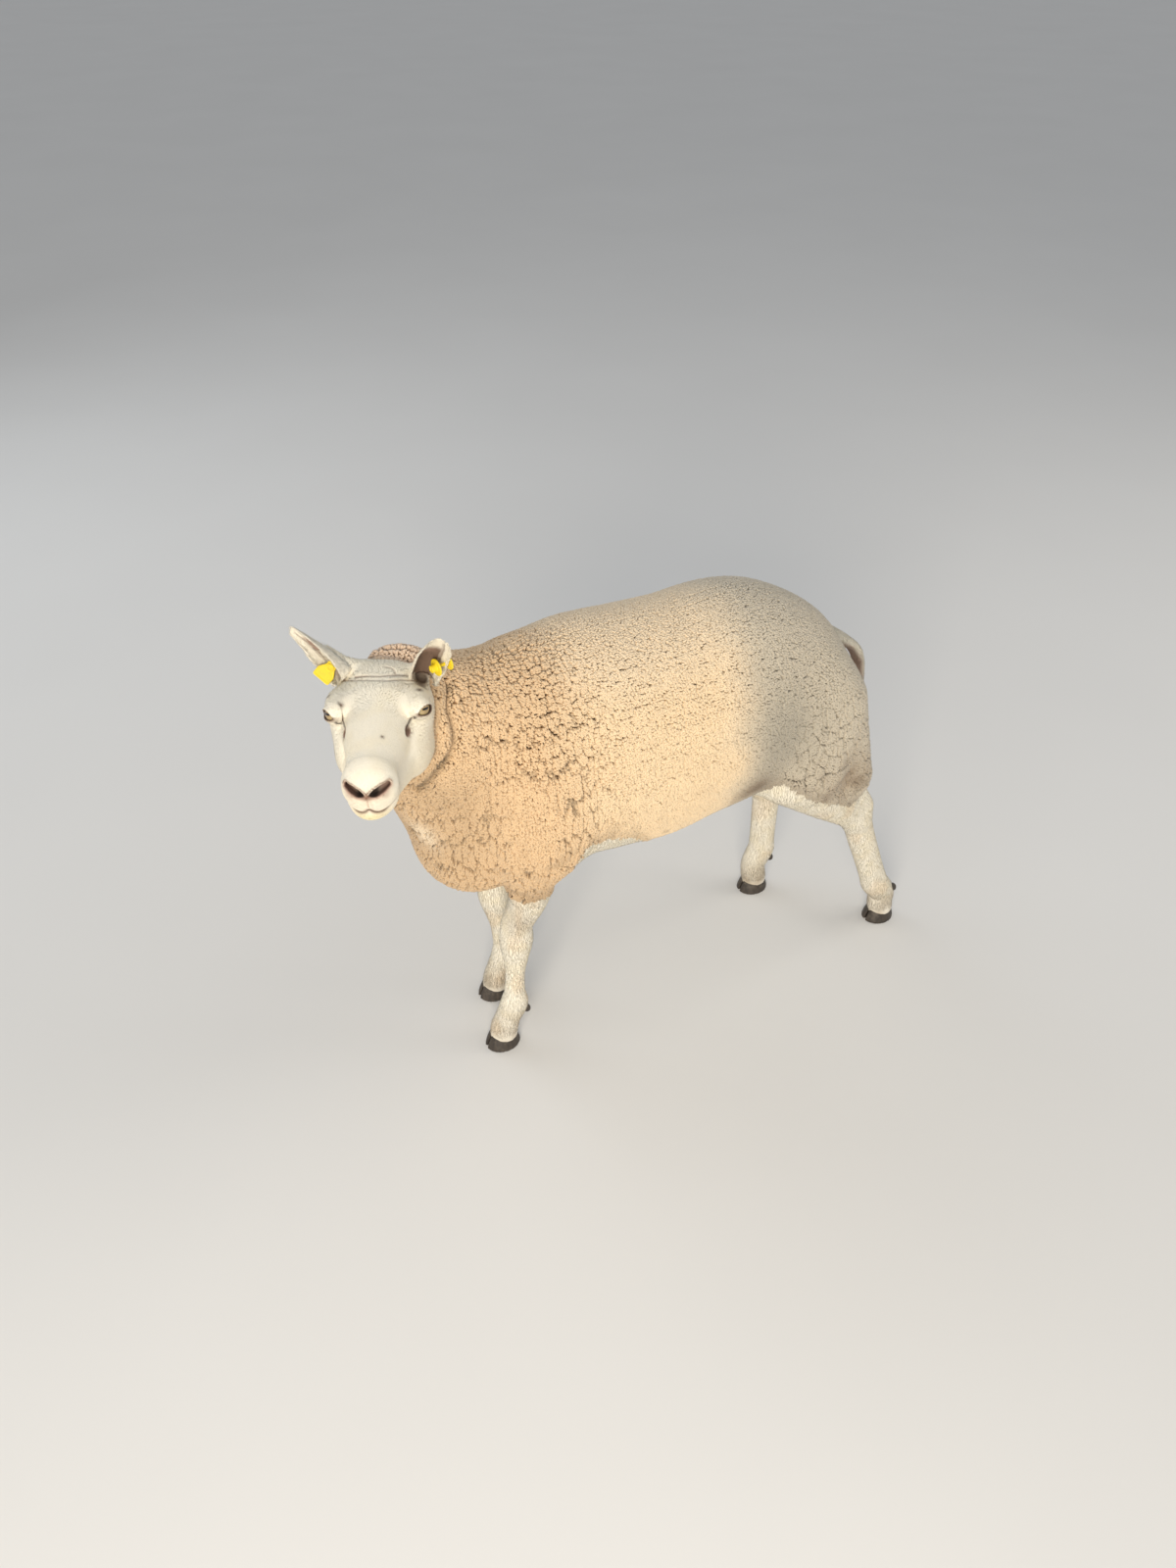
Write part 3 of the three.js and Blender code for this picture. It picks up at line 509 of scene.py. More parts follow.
@dataclass
class Face:
    """Lids, tear ducts, nostrils, lips and folds, in the head's own frame, in millimetres."""

    anatomy: Anatomy
    ears: "list[Ear]"
    hair_depth: float = 2.4
    eye_radius: float = 13.5
    eye_centres: tuple[Point, ...] = ((52.5, -87.5, -28.8), (-50.0, -91.8, -31.2))
    gazes: tuple[Point, ...] = ((0.72, -0.68, 0.15), (-0.79, -0.59, 0.15))
    slits: tuple[Point, ...] = ((0.72, 0.69, -0.10), (-0.60, 0.77, -0.17))
    opening_at: tuple[float, float] = (0.4, 0.2)
    opening_half: tuple[float, float] = (10.6, 5.9)
    eye_reach: float = 24.0
    gland_half: Point = (4.0, 8.6, 6.6)
    glands: tuple[Point, ...] = ((39.8, -113.7, -45.9), (-38.2, -117.5, -44.3))
    tears: tuple[tuple[Point, ...], ...] = (
        ((48.4, -101.0, -32.5), (45.1, -98.0, -37.6), (42.1, -101.6, -40.2), (39.9, -107.9, -42.0)),
        ((-47.5, -104.0, -34.5), (-44.8, -102.0, -38.6), (-41.6, -105.8, -40.6), (-39.0, -111.6, -42.0)),
    )
    creases: list[Crease] = field(init=False)
    ducts: list[Crease] = field(init=False)

    PHILTRUM, LIPS = 4, 5

    def __post_init__(self) -> None:
        """Lays the face's lines on its skin."""
        poll = (
            *((-50, -29, -20), (-38, -40, -13), (-26, -49.5, -8), (-5, -60.5, -3)),
            *((13, -60, -4), (29, -48.5, -10), (48, -34.5, -19)),
        )
        fold = ((-34, -38, -6), (-20, -46, -2), (2, -52, 0), (22, -44, -3), (38, -34, -10))
        slit_left = ((8, -30, 1), (15, -31, 0), (20, -35, -2), (22, -41, -4))
        slit_right = ((-32, -40, -7), (-24, -44, -4), (-15, -47, -2))
        philtrum = ((0, -233, -62), (0, -233, -70), (0, -229, -82))
        half = (
            *((5, -225, -89.8), (11, -221, -92.2), (18, -216, -92.6)),
            *((25, -208, -91), (31, -196, -89), (34, -184, -87)),
        )
        lips = (*((-x, y, z) for x, y, z in half[::-1]), (0, -226, -86.5), *half)
        self.glands = self.on_skin(Crease(self.glands, 0, 0)).points
        self.ducts = [self.on_skin(Crease(tear, 1.1, 1.8)) for tear in self.tears]
        lines = [(poll, 1.1, 1.8), (fold, 1.6, 0.7), (slit_left, 1.0, 2.0)]
        lines += [(slit_right, 1.1, 1.4), (philtrum, 0.9, 2.0), (lips, 1.4, 2.6)]
        self.creases = [self.on_skin(Crease(*line)) for line in lines] + self.ducts
        for side in (LEFT, RIGHT):
            lid = [self.eye_point(side, a, 12, 11.5 - 0.035 * (a + 1) ** 2) for a in (-12, -7, -1, 5, 10)]
            self.creases.append(self.on_skin(Crease(tuple(lid), 1.0, 0.6)))
            under = [self.eye_point(side, a, 12, -9.5 + 0.03 * a**2) for a in (-9, -4, 1, 6)]
            self.creases.append(self.on_skin(Crease(tuple(under), 1.2, 0.7)))
        for y, width in ((-189, 28), (-195.5, 33), (-202, 34), (-208, 26)):
            arc = tuple((x, y + 0.006 * x * x, -31 - 0.011 * x * x) for x in np.linspace(-width, width, 7))
            self.creases.append(self.on_skin(Crease(arc, 1.5, 0.25)))
        behind = (((-50, -27, -12), (-38, -36, -7), (-26, -41, -4)), ((28, -38, -3), (40, -30, -10), (50, -24, -18)))
        behind += (((-16, -54, -1), (-4, -58, 0), (10, -57, 0)), ((36, -52, -8), (46, -47, -14), (54, -44, -22)))
        self.creases += [self.on_skin(Crease(line, 1.6, 1.3)) for line in behind]

    def on_skin(self, crease: Crease) -> Crease:
        """The crease with its points moved onto the skin."""
        points = settled(self.plain, np.array(crease.points, float), 8, 6.0)
        return Crease(tuple(map(tuple, points)), crease.width, crease.depth)

    def plain(self, q: Array) -> Array:
        """The head's field to its skin, without the finer forms."""
        return self.anatomy.skull(q) + self.hair_depth

    @staticmethod
    def of(pair: Sequence[Row], side: int) -> Array:
        """The left or the right one of a pair."""
        return np.array(pair[0 if side == LEFT else 1])

    def eye_axes(self, side: int) -> Array:
        """An eye's own axes as rows: along the slit, along the gaze, and up."""
        out = unit(self.of(self.gazes, side))
        return squared(out, self.of(self.slits, side))

    def eye_local(self, q: Array, side: int) -> Array:
        """Points of the head from an eye's centre, along its axes."""
        return (q - self.eye_centre(side)) @ self.eye_axes(side).T

    def eye_point(self, side: int, along: float, out: float, up: float) -> Array:
        """The inverse of eye_local for one point."""
        return self.eye_centre(side) + vec(along, out, up) @ self.eye_axes(side)

    def eye_centre(self, side: int) -> Array:
        """The middle of an eyeball in the head's frame."""
        return self.of(self.eye_centres, side)

    def gland(self, side: int) -> Array:
        """The middle of the tear gland's pit below an eye."""
        return self.of(self.glands, side)

    def pit(self, q: Array, side: int) -> Array:
        """The field of the tear gland's dark patch."""
        return mass(q, self.gland(side), self.gland_half)

    def in_front(self, local: Array) -> Array:
        """Which points are before an eye and close to it."""
        return (local[:, 1] > 0) & (np.linalg.norm(local, axis=1) < self.eye_reach)

    def opening(self, local: Array) -> Array:
        """The almond between the lids: an ellipse bent into an arch, less than 0 inside."""
        a = local[:, 0] - self.opening_at[0]
        b = local[:, 2] - self.opening_at[1] + 0.012 * a * a - 0.05 * a
        return (np.hypot(a / self.opening_half[0], b / self.opening_half[1]) - 1) * self.opening_half[1]

    def nostril(self, q: Array, side: int) -> Array:
        """The comma of a nostril: a bent taper from beside the midline up and out."""
        comma = ((4.4, -231, -62, 2.6), (10.5, -226, -60.5, 4.8), (17, -220, -58, 5.0), (23.5, -213, -56, 3.8))
        return chain(q, np.array(comma, float) * vec(side, 1, 1, 1))

    def along(self, q: Array, points: Sequence[Row]) -> Array:
        """The distance to a line through the points, smoothed."""
        return chain(q, smoothed([[*p, 0.0] for p in points], 3))

    def flat(self, q: Array) -> Array:
        """Points moved onto the plain head, to measure along it."""
        return settled(self.plain, q, 3, 5.0)

    def shaped(self, q: Array, f: Array) -> Array:
        """The skin's field with the finer forms added, near the head only."""
        near = away(q, 0, -130, -60) < 165
        if near.any():
            f[near] = self._shaped(q[near], f[near])
        return f

    def inside_nostril(self, q: Array, side: int) -> Array:
        """The nostril's passage: the comma and two more of it, moved back into the nose."""
        hole = self.nostril(q, side)
        deep = self.nostril(q + vec(0, -6, 1.0), side)
        deeper = self.nostril(q + vec(-side * 1.5, -12, 2.5), side)
        return join(join(hole + 0.4, deep + 0.8, 3), deeper + 1.4, 3)

    def ear_channel(self, q: Array, ear: "Ear") -> Array:
        """The hollow of the ear's funnel where it opens in front of the head."""
        line = np.array(ear.channel, float)
        line[:, :3] = line[:, :3] @ ear.axes + np.array(ear.root)
        return chain(q, line)

    def _shaped(self, q: Array, f: Array) -> Array:
        """The finer forms, for points near the head."""
        f = f + 6.5 * blob(q, (4, 2, 0), (1.5, 1.1, 1), 24)
        f = join(f, self.anatomy.ear_root(q) + self.hair_depth, 12)
        for ear in self.ears:
            f = carve(f, self.ear_channel(q, ear), 5)
        for side in (LEFT, RIGHT):
            local = self.eye_local(q, side)
            hollow = mass(local, (0, 20.5, -1.0), (15, 6.0, 8))
            f = carve(f, hollow, 6)
            ball = np.linalg.norm(local, axis=1) - self.eye_radius
            f = join(f, np.maximum(ball - 1.9, -local[:, 1]), 3.5)
            gap = self.opening(local)
            front = (local[:, 1] > 0) & (ball < 9)
            upper = 1.1 + 0.5 * (local[:, 2] > 0)
            f = f - upper * bell(gap - 1.4, 1.2) * front
            f = carve(f, np.maximum(gap, -local[:, 1]), 0.7)
            pit = mass(q, self.gland(side), (3.4, 9.0, 5.0))
            f = carve(f, pit, 2.5)
            hole = self.nostril(q, side)
            f = f - 1.3 * bell(hole - 3.0, 2.0) * (q[:, 1] < -196)
            f = carve(f, self.inside_nostril(q, side), 2.2)
        for crease in self.creases:
            points = np.array(crease.points)
            low, high = points.min(0) - 9, points.max(0) + 9
            near = in_box(q, low, high)
            if near.any():
                groove = bell(self.along(q[near], crease.points), crease.width * 1.7)
                f = f.copy()
                f[near] = f[near] + crease.depth * groove
        return f


# ---- Meshes from fields


@dataclass
class Surface:
    """A surface: vertices in millimetres, and faces of four and of three vertices."""

    verts: Array
    quads: Array
    tris: Array = field(default_factory=lambda: np.zeros((0, 3), int))

    def triangles(self) -> Array:
        """Every face as triangles."""
        q = self.quads
        return np.concatenate([q[:, [0, 1, 2]], q[:, [0, 2, 3]], self.tris])

    def normals(self) -> Array:
        """Unit normals at the vertices, averaged from the faces round each."""
        v, t = self.verts, self.triangles()
        flat = np.cross(v[t[:, 1]] - v[t[:, 0]], v[t[:, 2]] - v[t[:, 0]])
        total = np.stack([np.bincount(t.ravel(), np.repeat(flat[:, k], 3), len(v)) for k in range(3)], 1)
        return unit(total)

    def kept(self, keep: Array) -> "Surface":
        """The four-sided faces marked in `keep`, with the vertices they use."""
        quads = self.quads[keep]
        used, index = np.unique(quads, return_inverse=True)
        return Surface(self.verts[used], index.reshape(quads.shape))

    def placed(self, place: Shape) -> "Surface":
        """A copy with its vertices moved by a function."""
        return Surface(place(self.verts), self.quads, self.tris)


def tube_faces(rows: int, sides: int) -> Array:
    """The four-sided faces of a grid of rows, each a closed ring of vertices."""
    i, j = np.meshgrid(np.arange(rows - 1), np.arange(sides), indexing="ij")
    k = (j + 1) % sides
    corners = [i * sides + j, i * sides + k, (i + 1) * sides + k, (i + 1) * sides + j]
    return np.stack(corners, -1).reshape(-1, 4)


def turned_shape(rings: Array, first: Row, last: Row) -> Surface:
    """A closed surface: rings of vertices, of shape (rows, sides, 3), with a fan at each end."""
    rows, sides = rings.shape[:2]
    ring = np.arange(sides)
    after = (ring + 1) % sides
    far, tip = (rows - 1) * sides, rows * sides
    caps = [np.stack([after, ring, tip + 0 * ring], 1), np.stack([far + ring, far + after, tip + 1 + 0 * ring], 1)]
    return Surface(np.concatenate([rings.reshape(-1, 3), [first, last]]), tube_faces(rows, sides), np.concatenate(caps))


def joined(surfaces: Iterable[Surface]) -> Surface:
    """Several surfaces in one list of vertices and faces."""
    surfaces = list(surfaces)
    starts = np.cumsum([0, *(len(s.verts) for s in surfaces)])
    quads = [s.quads + start for s, start in zip(surfaces, starts)]
    tris = [s.tris + start for s, start in zip(surfaces, starts)]
    return Surface(np.concatenate([s.verts for s in surfaces]), np.concatenate(quads), np.concatenate(tris))


def gradient(shape: Shape, p: Array, step: float = 0.4) -> Array:
    """A field's outward slope, by central differences."""
    parts = []
    for axis in np.eye(3):
        parts.append((shape(p + step * axis) - shape(p - step * axis)) / (2 * step))
    return np.stack(parts, 1)


def settled(shape: Shape, p: Array, rounds: int = 2, most: float = 3.0) -> Array:
    """Points moved onto the surface by Newton's steps, each no longer than `most`."""
    for _ in range(rounds):
        g = gradient(shape, p)
        step = shape(p) / np.maximum((g * g).sum(1), 0.05)
        p = p - g * np.clip(step, -most, most)[:, None]
    return p


def sampled(shape: Shape, low: Array, count: Array, cell: float) -> Array:
    """A field's values on a grid, worked out only in the blocks that its surface may cross.

    Elsewhere a block's centre stands for the whole block.
    """
    block = 4
    blocks = -(-count // block)
    centres = np.stack(np.meshgrid(*[np.arange(n) for n in blocks], indexing="ij"), -1).reshape(-1, 3)
    coarse = shape(low + (centres * block + (block - 1) / 2) * cell).reshape(blocks)
    near = np.abs(coarse) < block * cell * 1.5
    for axis in range(3):
        coarse = np.repeat(coarse, block, axis)
        near = np.repeat(near, block, axis)
    inside = tuple(slice(0, n) for n in count)
    values, near = coarse[inside].copy(), near[inside]
    at = np.argwhere(near)
    fine = np.concatenate([shape(low + part * cell) for part in np.array_split(at, max(1, len(at) // 200000))])
    values[near] = fine
    return values


def surfaced(shape: Shape, low: Row, high: Row, cell: float, rounds: int = 2) -> Surface:
    """Meshes a field's inside by surface nets: a vertex per crossed cell, a face per crossed edge.

    Each vertex is the mean of the points where the surface crosses its cell's edges, then settled
    onto the surface. Each grid edge that the surface crosses gives a face between its four cells.

    Args:
        shape: the field, less than 0 inside.
        low: the box's lowest corner.
        high: its highest corner.
        cell: the grid's spacing.
        rounds: how many times the vertices are settled.

    Returns:
        The surface, with its faces pointing outwards.
    """
    start = np.asarray(low, float)
    count = np.ceil((np.asarray(high, float) - start) / cell).astype(int) + 1
    f = sampled(shape, start, count, cell)
    within = f < 0
    cells = tuple(n - 1 for n in count)
    filled = np.zeros(cells, np.int8)
    for corner in np.ndindex(2, 2, 2):
        filled += within[tuple(slice(c, c + n) for c, n in zip(corner, cells))]
    crossed = (filled > 0) & (filled < 8)
    at = np.argwhere(crossed)
    index = np.full(cells, -1, np.int64)
    index[crossed] = np.arange(len(at))
    total, hits = np.zeros((len(at), 3)), np.zeros(len(at))
    for axis in range(3):
        side_a, side_b = (axis + 1) % 3, (axis + 2) % 3
        for a, b in np.ndindex(2, 2):
            first = at.copy()
            first[:, side_a] += a
            first[:, side_b] += b
            second = first.copy()
            second[:, axis] += 1
            f0, f1 = f[tuple(first.T)], f[tuple(second.T)]
            hit = (f0 < 0) != (f1 < 0)
            t = np.where(hit, f0 / np.where(hit, f0 - f1, 1), 0)
            point = first + t[:, None] * (second - first)
            total[hit] += point[hit]
            hits[hit] += 1
    verts = total / hits[:, None] * cell + start
    faces = []
    for axis in range(3):
        a, b = (axis + 1) % 3, (axis + 2) % 3
        head = [slice(None)] * 3
        tail = [slice(None)] * 3
        head[axis], tail[axis] = slice(0, -1), slice(1, None)
        starts_in = within[tuple(head)]
        edge = np.argwhere(starts_in != within[tuple(tail)])
        roomy = (edge[:, a] > 0) & (edge[:, b] > 0) & (edge[:, a] < count[a] - 1) & (edge[:, b] < count[b] - 1)
        edge = edge[roomy]
        da, db = np.eye(3, dtype=int)[a], np.eye(3, dtype=int)[b]
        ring = np.stack([index[tuple((edge - off).T)] for off in (da + db, db, 0 * da, da)], 1)
        outward = starts_in[tuple(edge.T)]
        ring[~outward] = ring[~outward][:, ::-1]
        faces.append(ring)
    return Surface(settled(shape, verts, rounds, cell) if rounds else verts, np.concatenate(faces))


def open_rings(surface: Surface) -> list[Array]:
    """The open edges of a surface, each ring's vertices in order."""
    q = surface.quads
    edges = np.concatenate([q[:, [i, (i + 1) % 4]] for i in range(4)])
    size = len(surface.verts)
    keys = edges[:, 0] * size + edges[:, 1]
    open_edges = edges[~np.isin(edges[:, 1] * size + edges[:, 0], keys)]
    follows = dict(map(tuple, open_edges.tolist()))
    rings = []
    while follows:
        start, at = follows.popitem()
        ring = [start]
        while at != start and at in follows:
            ring.append(at)
            at = follows.pop(at)
        rings.append(np.array(ring))
    return rings


def zipped_near(a: Surface, b: Surface) -> Surface:
    """Two surfaces joined by a band between b's longest open edge and the nearest of a's.

    Both edges are walked from the same place, by the share of their length covered, and each step
    adds a face on the side that is behind.
    """
    both = joined([a, b])
    ring_b = max(open_rings(b), key=len) + len(a.verts)
    middle = both.verts[ring_b].mean(0)
    able = [ring for ring in open_rings(a) if len(ring) > 8]
    ring_a = min(able, key=lambda ring: np.linalg.norm(both.verts[ring].mean(0) - middle))
    ring_b = ring_b[::-1]
    start = both.verts[ring_a[0]]
    ring_b = np.roll(ring_b, -int(np.argmin(np.linalg.norm(both.verts[ring_b] - start, axis=1))))

    def walked(ring: Array) -> Array:
        """The share of a ring's length covered at each vertex, and 1 at its end."""
        steps = np.linalg.norm(both.verts[np.roll(ring, -1)] - both.verts[ring], axis=1)
        return np.concatenate([[0], np.cumsum(steps) / steps.sum()])

    at_a, at_b = walked(ring_a), walked(ring_b)
    order = np.argsort(np.concatenate([at_a[1:], at_b[1:]]), kind="stable")
    moves_a = order < len(ring_a)
    i = np.concatenate([[0], np.cumsum(moves_a)])
    j = np.concatenate([[0], np.cumsum(~moves_a)])
    here_a, here_b = ring_a[i % len(ring_a)], ring_b[j % len(ring_b)]
    along_a = np.stack([here_a[1:], here_a[:-1], here_b[:-1]], 1)
    along_b = np.stack([here_b[:-1], here_b[1:], here_a[:-1]], 1)
    band = np.where(moves_a[:, None], along_a, along_b)
    return Surface(both.verts, both.quads, np.concatenate([both.tris, band]))


# ---- Shader sums


def operator(operation: str, is_reflected: bool = False) -> Callable[["Term", Any], "Term"]:
    """A method that adds one Math node, with its operands in either order."""

    def method(term: "Term", other: Any) -> "Term":
        """The node's result."""
        pair = (other, term) if is_reflected else (term, other)
        return term.recipe.add("Math", {"operation": operation}, dict(enumerate(pair)))

    return method


@dataclass(frozen=True)
class Term:
    """A node's output that adds Math nodes when it is used in an expression."""

    recipe: "Recipe"
    socket: bpy.types.NodeSocket

    __add__, __radd__ = operator("ADD"), operator("ADD", True)
    __sub__, __rsub__ = operator("SUBTRACT"), operator("SUBTRACT", True)
    __mul__, __rmul__ = operator("MULTIPLY"), operator("MULTIPLY", True)
    __truediv__, __pow__ = operator("DIVIDE"), operator("POWER")


class Recipe:
    """A material being put together from nodes."""

    def __init__(self, name: str) -> None:
        """Starts an empty material."""
        self.material = bpy.data.materials.new(name)
        self.material.use_nodes = True
        self.tree = self.material.node_tree
        self.tree.nodes.clear()

    def add(self, kind: str, settings: Mapping[str, Any] = {}, inputs: Mapping[Any, Any] = {}, out: Any = 0) -> Term:
        """Adds a node.

        Args:
            kind: its type, without the ShaderNode prefix.
            settings: its properties, and a ramp's stops under "stops", set before its inputs.
            inputs: values or links by the socket's name or number.
            out: which output to return.

        Returns:
            The output as a Term.
        """
        node = self.tree.nodes.new("ShaderNode" + kind)
        for key, value in settings.items():
            if key == "stops":
                self._set_stops(node.color_ramp, value)
            else:
                setattr(node, key, value)
        for key, value in inputs.items():
            if isinstance(value, Term):
                self.tree.links.new(value.socket, node.inputs[key])
            else:
                node.inputs[key].default_value = value
        return Term(self, node.outputs[out])

    def _set_stops(self, ramp: bpy.types.ColorRamp, stops: Sequence[tuple[float, Row]]) -> None:
        """Gives a ramp its stops, each a position and a colour."""
        while len(ramp.elements) < len(stops):
            ramp.elements.new(1.0)
        for element, (position, colour) in zip(ramp.elements, stops):
            element.position = position
            element.color = (*colour, 1)

    def place(self) -> Term:
        """Object coordinates."""
        return self.add("TexCoord", out="Object")

    def tint(self) -> Term:
        """The colour painted on the mesh."""
        return self.add("VertexColor", {"layer_name": TINT})

    def noise(self, scale: float, detail: float = 2.0, vector: Term | None = None, rough: float = 0.5) -> Term:
        """Noise from 0 to 1, `scale` waves to the metre."""
        at = vector or self.place()
        return self.add("TexNoise", {}, {"Vector": at, "Scale": scale, "Detail": detail, "Roughness": rough})

    def blend(self, a: Any, b: Any, share: Any, mode: str = "MIX") -> Term:
        """Colour a turned into colour b by a share, by one Mix node."""
        inputs = {0: share, 6: a, 7: b}
        return self.add("Mix", {"data_type": "RGBA", "blend_type": mode}, inputs, out=2)

    def stretched(self, x: float, y: float, z: float) -> Term:
        """Object coordinates with each axis scaled."""
        return self.add("VectorMath", {"operation": "MULTIPLY"}, {0: self.place(), 1: (x, y, z)})

    def eased(self, value: Term, low: float, high: float) -> Term:
        """0 below low, 1 above high, and a smooth S between."""
        inputs = {"Value": value, "From Min": low, "From Max": high}
        return self.add("MapRange", {"interpolation_type": "SMOOTHSTEP"}, inputs)

    def bump(self, height: Term, distance: float, strength: float = 1.0) -> Term:
        """A normal bent by a height."""
        return self.add("Bump", {}, {"Height": height, "Distance": distance, "Strength": strength})

    def finish(self, **inputs: Any) -> Material:
        """Closes the material with a Principled shader.

        Args:
            inputs: values or links by the socket's name, with _ for a space.

        Returns:
            The material.
        """
        named = {key.replace("_", " "): value for key, value in inputs.items()}
        shader = self.add("BsdfPrincipled", {}, named)
        output = self.tree.nodes.new("ShaderNodeOutputMaterial")
        self.tree.links.new(shader.socket, output.inputs["Surface"])
        return self.material


TINT = "tint"
BAKE_MAP = "OFBake"


@dataclass(frozen=True)
class CoatFinish:
    """Skin, hair or fleece: painted colour, broken by a fine grain and by patches, nearly dull."""

    name: str
    grain: tuple[float, float, float]
    patches: tuple[float, float]
    grain_share: float
    dark: Row
    light: Row
    bump: tuple[float, float]
    roughness: float
    gloss: float
    sheen: float = 0.0

    def build(self) -> Material:
        """Makes the material."""
        m = Recipe(self.name)
        scale, detail, rough = self.grain
        grain = m.noise(scale, detail, rough=rough)
        patches = m.noise(*self.patches)
        share = grain * self.grain_share + patches * (1 - self.grain_share)
        shade = m.blend((*self.dark, 1), (*self.light, 1), share)
        colour = m.blend(m.tint(), shade, 1.0, "MULTIPLY")
        normal = m.bump(grain, *self.bump)
        plain = {"Roughness": self.roughness, "Specular_IOR_Level": self.gloss}
        sheen = {"Sheen_Weight": self.sheen, "Sheen_Roughness": 0.6} if self.sheen else {}
        return m.finish(Base_Color=colour, Normal=normal, **plain, **sheen)


HAIR_FINISH = CoatFinish(
    name="hide",
    grain=(900, 3, 0.5),
    patches=(60, 2),
    grain_share=0.7,
    dark=(0.92, 0.91, 0.9),
    light=(1.05, 1.05, 1.05),
    bump=(0.0012, 0.6),
    roughness=0.72,
    gloss=0.28,
)
WOOL_FINISH = CoatFinish(
    name="fleece",
    grain=(420, 4, 0.6),
    patches=(25, 3),
    grain_share=0.75,
    dark=(0.86, 0.84, 0.82),
    light=(1.09, 1.09, 1.09),
    bump=(0.0016, 0.9),
    roughness=0.92,
    gloss=0.12,
    sheen=0.15,
)


@dataclass(frozen=True)
class HornFinish:
    """Hoof horn: dark, with fine lines up its wall and scuffed lower down."""

    name: str = "hoof_horn"

    def build(self) -> Material:
        """Makes the material."""
        m = Recipe(self.name)
        lines = m.noise(160, 4, m.stretched(1, 1, 0.12))
        scuff = m.noise(70, 4)
        horn = m.blend((0.028, 0.022, 0.018, 1), (0.11, 0.085, 0.062, 1), lines ** 2.0)
        colour = m.blend(horn, (0.2, 0.165, 0.125, 1), (scuff - 0.52) * 1.6)
        return m.finish(Base_Color=colour, Roughness=scuff * 0.3 + 0.38, Normal=m.bump(lines, 0.001, 0.7))


@dataclass(frozen=True)
class TagFinish:
    """Ear tag plastic: yellow, dulled by fine scratches and a little dirt."""

    name: str = "tag_plastic"

    def build(self) -> Material:
        """Makes the material."""
        m = Recipe(self.name)
        dirt = m.noise(180, 4)
        scratches = m.noise(1500, 2)
        clean = (0.87, 0.66, 0.022, 1)
        colour = m.blend(clean, (0.52, 0.36, 0.06, 1), (dirt - 0.5) * 1.1)
        return m.finish(Base_Color=colour, Roughness=scratches * 0.2 + 0.36, Normal=m.bump(scratches, 0.0002, 0.4))


@dataclass(frozen=True)
class EyeFinish:
    """The eye's front: an amber iris with a lying slot of a pupil, under a wet coat.

    The eye's own map gives the place on its front: u along the slit and v up, from 0 to 1 across
    the ball.
    """

    name: str = "eye_wet"
    map_name: str = "front"
    iris: float = 0.37
    slot: tuple[float, float] = (0.19, 0.05)

    DARK_AMBER = (0.20, 0.12, 0.05)
    STOPS = ((0.0, DARK_AMBER), (0.45, (0.42, 0.30, 0.14)), (0.85, (0.50, 0.39, 0.20)), (1.0, DARK_AMBER))

    def build(self) -> Material:
        """Makes the material."""
        m = Recipe(self.name)
        place = m.add("UVMap", {"uv_map": self.map_name})
        u = m.add("SeparateXYZ", {}, {0: place}, out=0) - 0.5
        v = m.add("SeparateXYZ", {}, {0: place}, out=1) - 0.5
        radius = (u * u + v * v) ** 0.5
        spoke = m.add("CombineXYZ", {}, {0: u, 1: v})
        rays = m.noise(30, 3, m.add("VectorMath", {"operation": "NORMALIZE"}, {0: spoke}))
        amber = m.add("ValToRGB", {"stops": self.STOPS}, {0: radius / self.iris})
        amber = m.blend(amber, m.blend((0.6, 0.6, 0.6, 1), (1.25, 1.25, 1.25, 1), rays), 1.0, "MULTIPLY")
        edge = m.eased(radius, self.iris * 0.93, self.iris * 1.04)
        white = m.blend(amber, (0.09, 0.035, 0.018, 1), edge)
        oval = (u / self.slot[0]) ** 4.0 + (v / self.slot[1]) ** 4.0
        pupil = m.eased(oval, 0.7, 1.4)
        colour = m.blend((0.004, 0.004, 0.006, 1), white, pupil)
        return m.finish(Base_Color=colour, Roughness=0.12, Coat_Weight=1.0, Coat_Roughness=0.03, Coat_IOR=1.38)


@dataclass(frozen=True)
class FloorFinish:
    """The studio's plain pale floor."""

    name: str = "studio_floor"

    def build(self) -> Material:
        """Makes the material."""
        m = Recipe(self.name)
        cloudy = m.noise(1.5, 2)
        return m.finish(Base_Color=m.blend((0.70, 0.69, 0.67, 1), (0.74, 0.73, 0.71, 1), cloudy), Roughness=0.9)


# ---- Meshes into the scene


